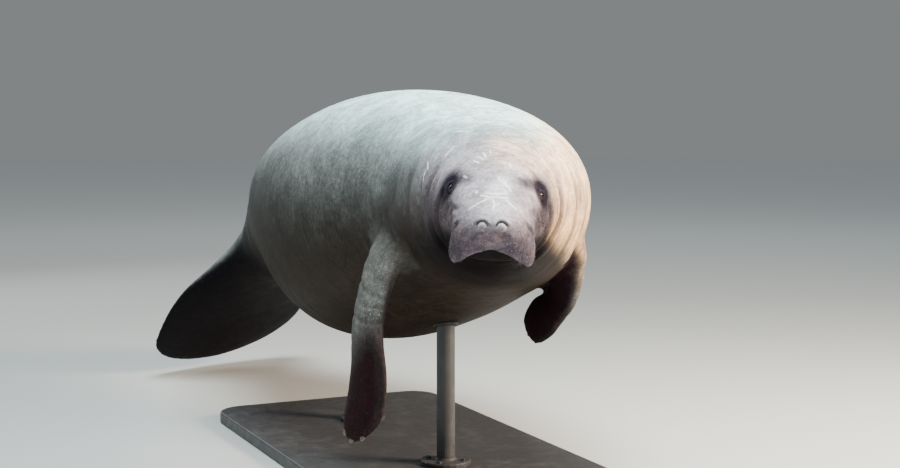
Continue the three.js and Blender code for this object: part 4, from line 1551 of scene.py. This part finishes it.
@dataclass
class Bristles:
    """The short stiff bristles of the lip pads and chin, as one mesh of thin cones."""

    body: BodyForm
    count: int = 520
    sides: int = 4
    length: tuple[float, float] = (0.0018, 0.0042)
    radius: float = 0.00034
    stations: tuple[float, float] = (0.006, 0.066)
    angles: tuple[float, float] = (70, 120)
    spread: float = 0.22
    map_length: float = 0.2
    patch: float = 0.003

    def build(self, material: Material) -> Piece:
        """The bristles, each with its own patch of the bake map at its root's place."""
        rng = np.random.default_rng(11)
        points, faces, homes = [], [], []
        corners = 2 * self.sides + 1
        for _ in range(self.count):
            sign = rng.choice([-1, 1])
            station, degrees = rng.uniform(*self.stations), rng.uniform(*self.angles)
            spot, turn = np.array(station), np.array(math.radians(sign * degrees))
            root, outward = self.body.mouthed(spot, turn), self.body.normal(spot, turn)
            forward, _, up = self.body.spine.frame(spot)
            lean = unit(outward + 0.5 * forward - 0.55 * up + rng.normal(0, self.spread, 3))
            across = unit(np.cross(lean, up))
            other = np.cross(lean, across)
            tall = rng.uniform(*self.length)
            first = len(points)
            for rise, share in ((-0.15, 1.0), (0.55, 0.75)):
                for i in range(self.sides):
                    around = 2 * math.pi * i / self.sides
                    ring = across * math.cos(around) + other * math.sin(around)
                    points.append(root + lean * tall * rise + ring * self.radius * share)
            points.append(root + lean * tall - up * tall * 0.12)
            for i in range(self.sides):
                j = (i + 1) % self.sides
                faces.append((first + i, first + j, first + self.sides + j, first + self.sides + i))
                faces.append((first + self.sides + i, first + self.sides + j, first + 2 * self.sides))
            faces.append(tuple(first + i for i in reversed(range(self.sides))))
            home = (station / self.map_length, 0.5 + sign * degrees / 360)
            homes.extend([home] * corners)
        obj = new_mesh("muzzle_bristles", np.array(points), faces)
        layer = obj.data.uv_layers.new(name="OFBake")
        for loop in obj.data.loops:
            home = homes[loop.vertex_index]
            shift = self.patch * (loop.vertex_index % corners / (corners - 1) - 0.5)
            layer.data[loop.index].uv = (home[0] + shift, home[1] - shift)
        obj.data.materials.append(material)
        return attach(obj, ROOT)


@dataclass
class StandTrim:
    """The small pieces of the stand: the screws of each flange and a soft collar under the belly."""

    body: BodyForm
    rod_stations: tuple[float, float] = (1.0, 1.64)
    rod_radius: float = 0.026
    flange_height: float = 0.012
    screw_circle: float = 0.052
    screw_radius: float = 0.0065
    screw_height: float = 0.005
    socket_radius: float = 0.0033
    socket_depth: float = 0.003
    screw_rounding: float = 0.0006
    sunk: float = 0.0002
    collar_thickness: float = 0.007
    collar_gap: float = 0.003
    belly_reach: float = 0.06
    belly_turn: float = 14.0

    def screw(self, name: str, place: Vector) -> Piece:
        """A cap screw with a rounded rim and a round socket."""
        bpy.ops.object.select_all(action="DESELECT")
        bpy.ops.mesh.primitive_cylinder_add(
            vertices=24, radius=self.screw_radius, depth=self.screw_height, location=place,
            end_fill_type="NGON",
        )
        screw = bpy.context.object
        screw.name = name
        bpy.ops.object.transform_apply(location=True, rotation=True, scale=True)
        top = place.z + self.screw_height / 2
        select_elements("FACE", "DESELECT")
        for face in screw.data.polygons:
            face.select = face.normal.z > 0.9 and abs(face.center.z - top) < 1e-4
        bpy.ops.object.mode_set(mode="EDIT")
        bpy.ops.mesh.inset(thickness=self.screw_radius - self.socket_radius)
        bpy.ops.mesh.extrude_region_move(TRANSFORM_OT_translate={"value": (0, 0, -self.socket_depth)})
        bpy.ops.object.mode_set(mode="OBJECT")
        apply_modifier(screw, "BEVEL", width=self.screw_rounding, segments=2, limit_method="ANGLE")
        return screw

    def collar(self, name: str, station: float) -> Piece:
        """A soft ring where a rod meets the belly, which slants there."""
        foot = self.body.spine.point(np.array(station))
        span = np.linspace(0, 2 * math.pi, 48, endpoint=False)
        ring = foot[:2] + self.rod_radius * np.stack([np.cos(span), np.sin(span)], -1)
        stations = station + np.linspace(-self.belly_reach, self.belly_reach, 41)
        turns = np.radians(180 + np.linspace(-self.belly_turn, self.belly_turn, 57))
        belly = self.body.skin(stations[:, None], turns[None, :]).reshape(-1, 3)
        nearest = np.argmin(np.linalg.norm(belly[None, :, :2] - ring[:, None], axis=2), axis=1)
        height = belly[nearest, 2]
        bpy.ops.object.select_all(action="DESELECT")
        bpy.ops.mesh.primitive_torus_add(
            major_segments=48, minor_segments=14, major_radius=self.rod_radius + self.collar_gap,
            minor_radius=self.collar_thickness, location=(*foot[:2], float(height.mean()) - self.collar_gap),
        )
        torus = bpy.context.object
        torus.name = name
        bpy.ops.object.transform_apply(location=True, rotation=True, scale=True)
        points = vertex_points(torus)
        around = np.arctan2(points[:, 1] - foot[1], points[:, 0] - foot[0])
        slant = np.interp(around % (2 * math.pi), np.append(span, 2 * math.pi), np.append(height, height[0]))
        points[:, 2] += slant - height.mean()
        move_vertices(torus, points)
        select_only(torus)
        bpy.ops.object.shade_smooth()
        return torus

    def build(self, metal: Material, soft: Material) -> list[Piece]:
        """Sets the screws and collars in place.

        Args:
            metal: The screws' material.
            soft: The collars' material.

        Returns:
            The pieces.
        """
        pieces = []
        top = BASE_THICKNESS + self.flange_height + self.screw_height / 2 - self.sunk
        for name, station in zip(("front", "rear"), self.rod_stations):
            foot = self.body.spine.point(np.array(station))
            for i in range(4):
                around = math.pi * (0.25 + i / 2)
                across, along = self.screw_circle * math.cos(around), self.screw_circle * math.sin(around)
                place = Vector((foot[0] + across, foot[1] + along, top))
                screw = self.screw(f"stand_screw_{name}_{i + 1}", place)
                screw.data.materials.append(metal)
                select_only(screw)
                bpy.ops.object.shade_smooth_by_angle(angle=math.radians(35))
                pieces.append(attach(screw, ROOT))
            collar = self.collar(f"stand_collar_{name}", station)
            collar.data.materials.append(soft)
            pieces.append(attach(collar, ROOT))
        return pieces


class Studio:
    """The pale floor, the soft lights and the camera at the photograph's view."""

    CAMERA = Vector((-1.700, -3.992, 1.042))
    FORWARD = Vector((0.421, 0.903, -0.087))
    LENS = 58.0
    SENSOR = 36.0
    AIM = Vector((0, -0.5, 0.7))
    FLOOR_RADIUS = 26.0
    FLOOR_DROP = 0.0005
    NEAR_FLOOR = colour(0.44, 0.45, 0.45)
    FAR_FLOOR = colour(0.93, 0.98, 1.0)
    SKY = colour(0.80, 0.84, 0.86)
    SKY_STRENGTH = 0.28
    LIGHTS = (
        ("overhead", (-0.5, -1.5, 4.2), 2.0, 520, (0.89, 1.0, 0.99)),
        ("front_fill", (-2.6, -5.0, 1.8), 2.6, 16, (1.0, 0.99, 0.97)),
        ("side_warm", (2.7, -2.3, 2.0), 1.0, 520, (1.0, 0.80, 0.60)),
        ("back_rim", (-1.0, 4.4, 2.8), 2.6, 60, (0.92, 0.98, 1.0)),
    )

    def aim(self, name: str, data: bpy.types.ID, place: Vector, direction: Vector) -> Piece:
        """Sets a light or a camera at a place, facing a direction."""
        obj = bpy.data.objects.new(name, data)
        obj.location = place
        obj.rotation_euler = direction.to_track_quat("-Z", "Y").to_euler()
        bpy.context.scene.collection.objects.link(obj)
        return obj

    def build(self) -> None:
        """Sets the stage."""
        bpy.ops.object.select_all(action="DESELECT")
        bpy.ops.mesh.primitive_circle_add(
            vertices=96, radius=self.FLOOR_RADIUS, fill_type="NGON", location=(0, 0, -self.FLOOR_DROP),
        )
        floor = bpy.context.object
        floor.name = "studio_floor"
        n = Nodes("studio_floor")
        far = n.add("VectorMath", {"operation": "LENGTH"}, Vector=n.place()).outputs["Value"]
        base = n.blend(n.span(far, 2.5, 9.0), self.NEAR_FLOOR, self.FAR_FLOOR)
        floor.data.materials.append(n.finish(Base_Color=base, Roughness=0.95, Specular_IOR_Level=0.2))
        world = bpy.data.worlds.new("studio")
        world.use_nodes = True
        sky = world.node_tree.nodes["Background"].inputs
        sky["Color"].default_value = self.SKY
        sky["Strength"].default_value = self.SKY_STRENGTH
        bpy.context.scene.world = world
        for name, place, size, power, tint in self.LIGHTS:
            data = bpy.data.lights.new(name, "AREA")
            data.size, data.energy, data.color = size, power, tint
            self.aim(name, data, Vector(place), self.AIM - Vector(place))
        data = bpy.data.cameras.new("camera")
        data.lens, data.sensor_width, data.clip_end = self.LENS, self.SENSOR, 200.0
        bpy.context.scene.camera = self.aim("camera", data, self.CAMERA, self.FORWARD)


def report(piece: Piece) -> None:
    """Logs a piece's name and faces."""
    log.info("%s: %d faces", piece.name, len(piece.data.polygons))


def dress_nodes(names: list[str], material: Material, rounded: bool) -> None:
    """Gives solids that stay their material, and a rounder surface where asked."""
    for name in names:
        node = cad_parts[name]
        node.data.materials.clear()
        node.data.materials.append(material)
        weld = node.modifiers.new("weld", "WELD")
        weld.merge_threshold = 1e-6
        if rounded:
            rounding = node.modifiers.new("rounding", "SUBSURF")
            rounding.levels = rounding.render_levels = 2
        report(node)


def main() -> None:
    """Builds every piece in order."""
    logging.basicConfig(level=logging.INFO, format="%(message)s")
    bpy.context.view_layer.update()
    body = BodyForm()
    skin = Skin(body, voxel=0.006)
    hide = skin.build()
    hide.data.materials.append(HideFinish().material())
    report(hide)
    eye_material = EyeFinish().material()
    for side in Side:
        report(Eyeball(body, side).build(eye_material))
    nails = [f"nail_{side.word}_{i}" for side in Side for i in (1, 2, 3)]
    dress_nodes(nails, NailFinish().material(), rounded=True)
    report(Bristles(body).build(BristleFinish().material()))
    stand = ["stand_base", "stand_rod_front", "stand_rod_rear"]
    dress_nodes(stand, StandFinish().material(), rounded=False)
    for piece in StandTrim(body).build(ScrewFinish().material(), CollarFinish().material()):
        report(piece)
    Studio().build()


if __name__ == "__main__":
    main()
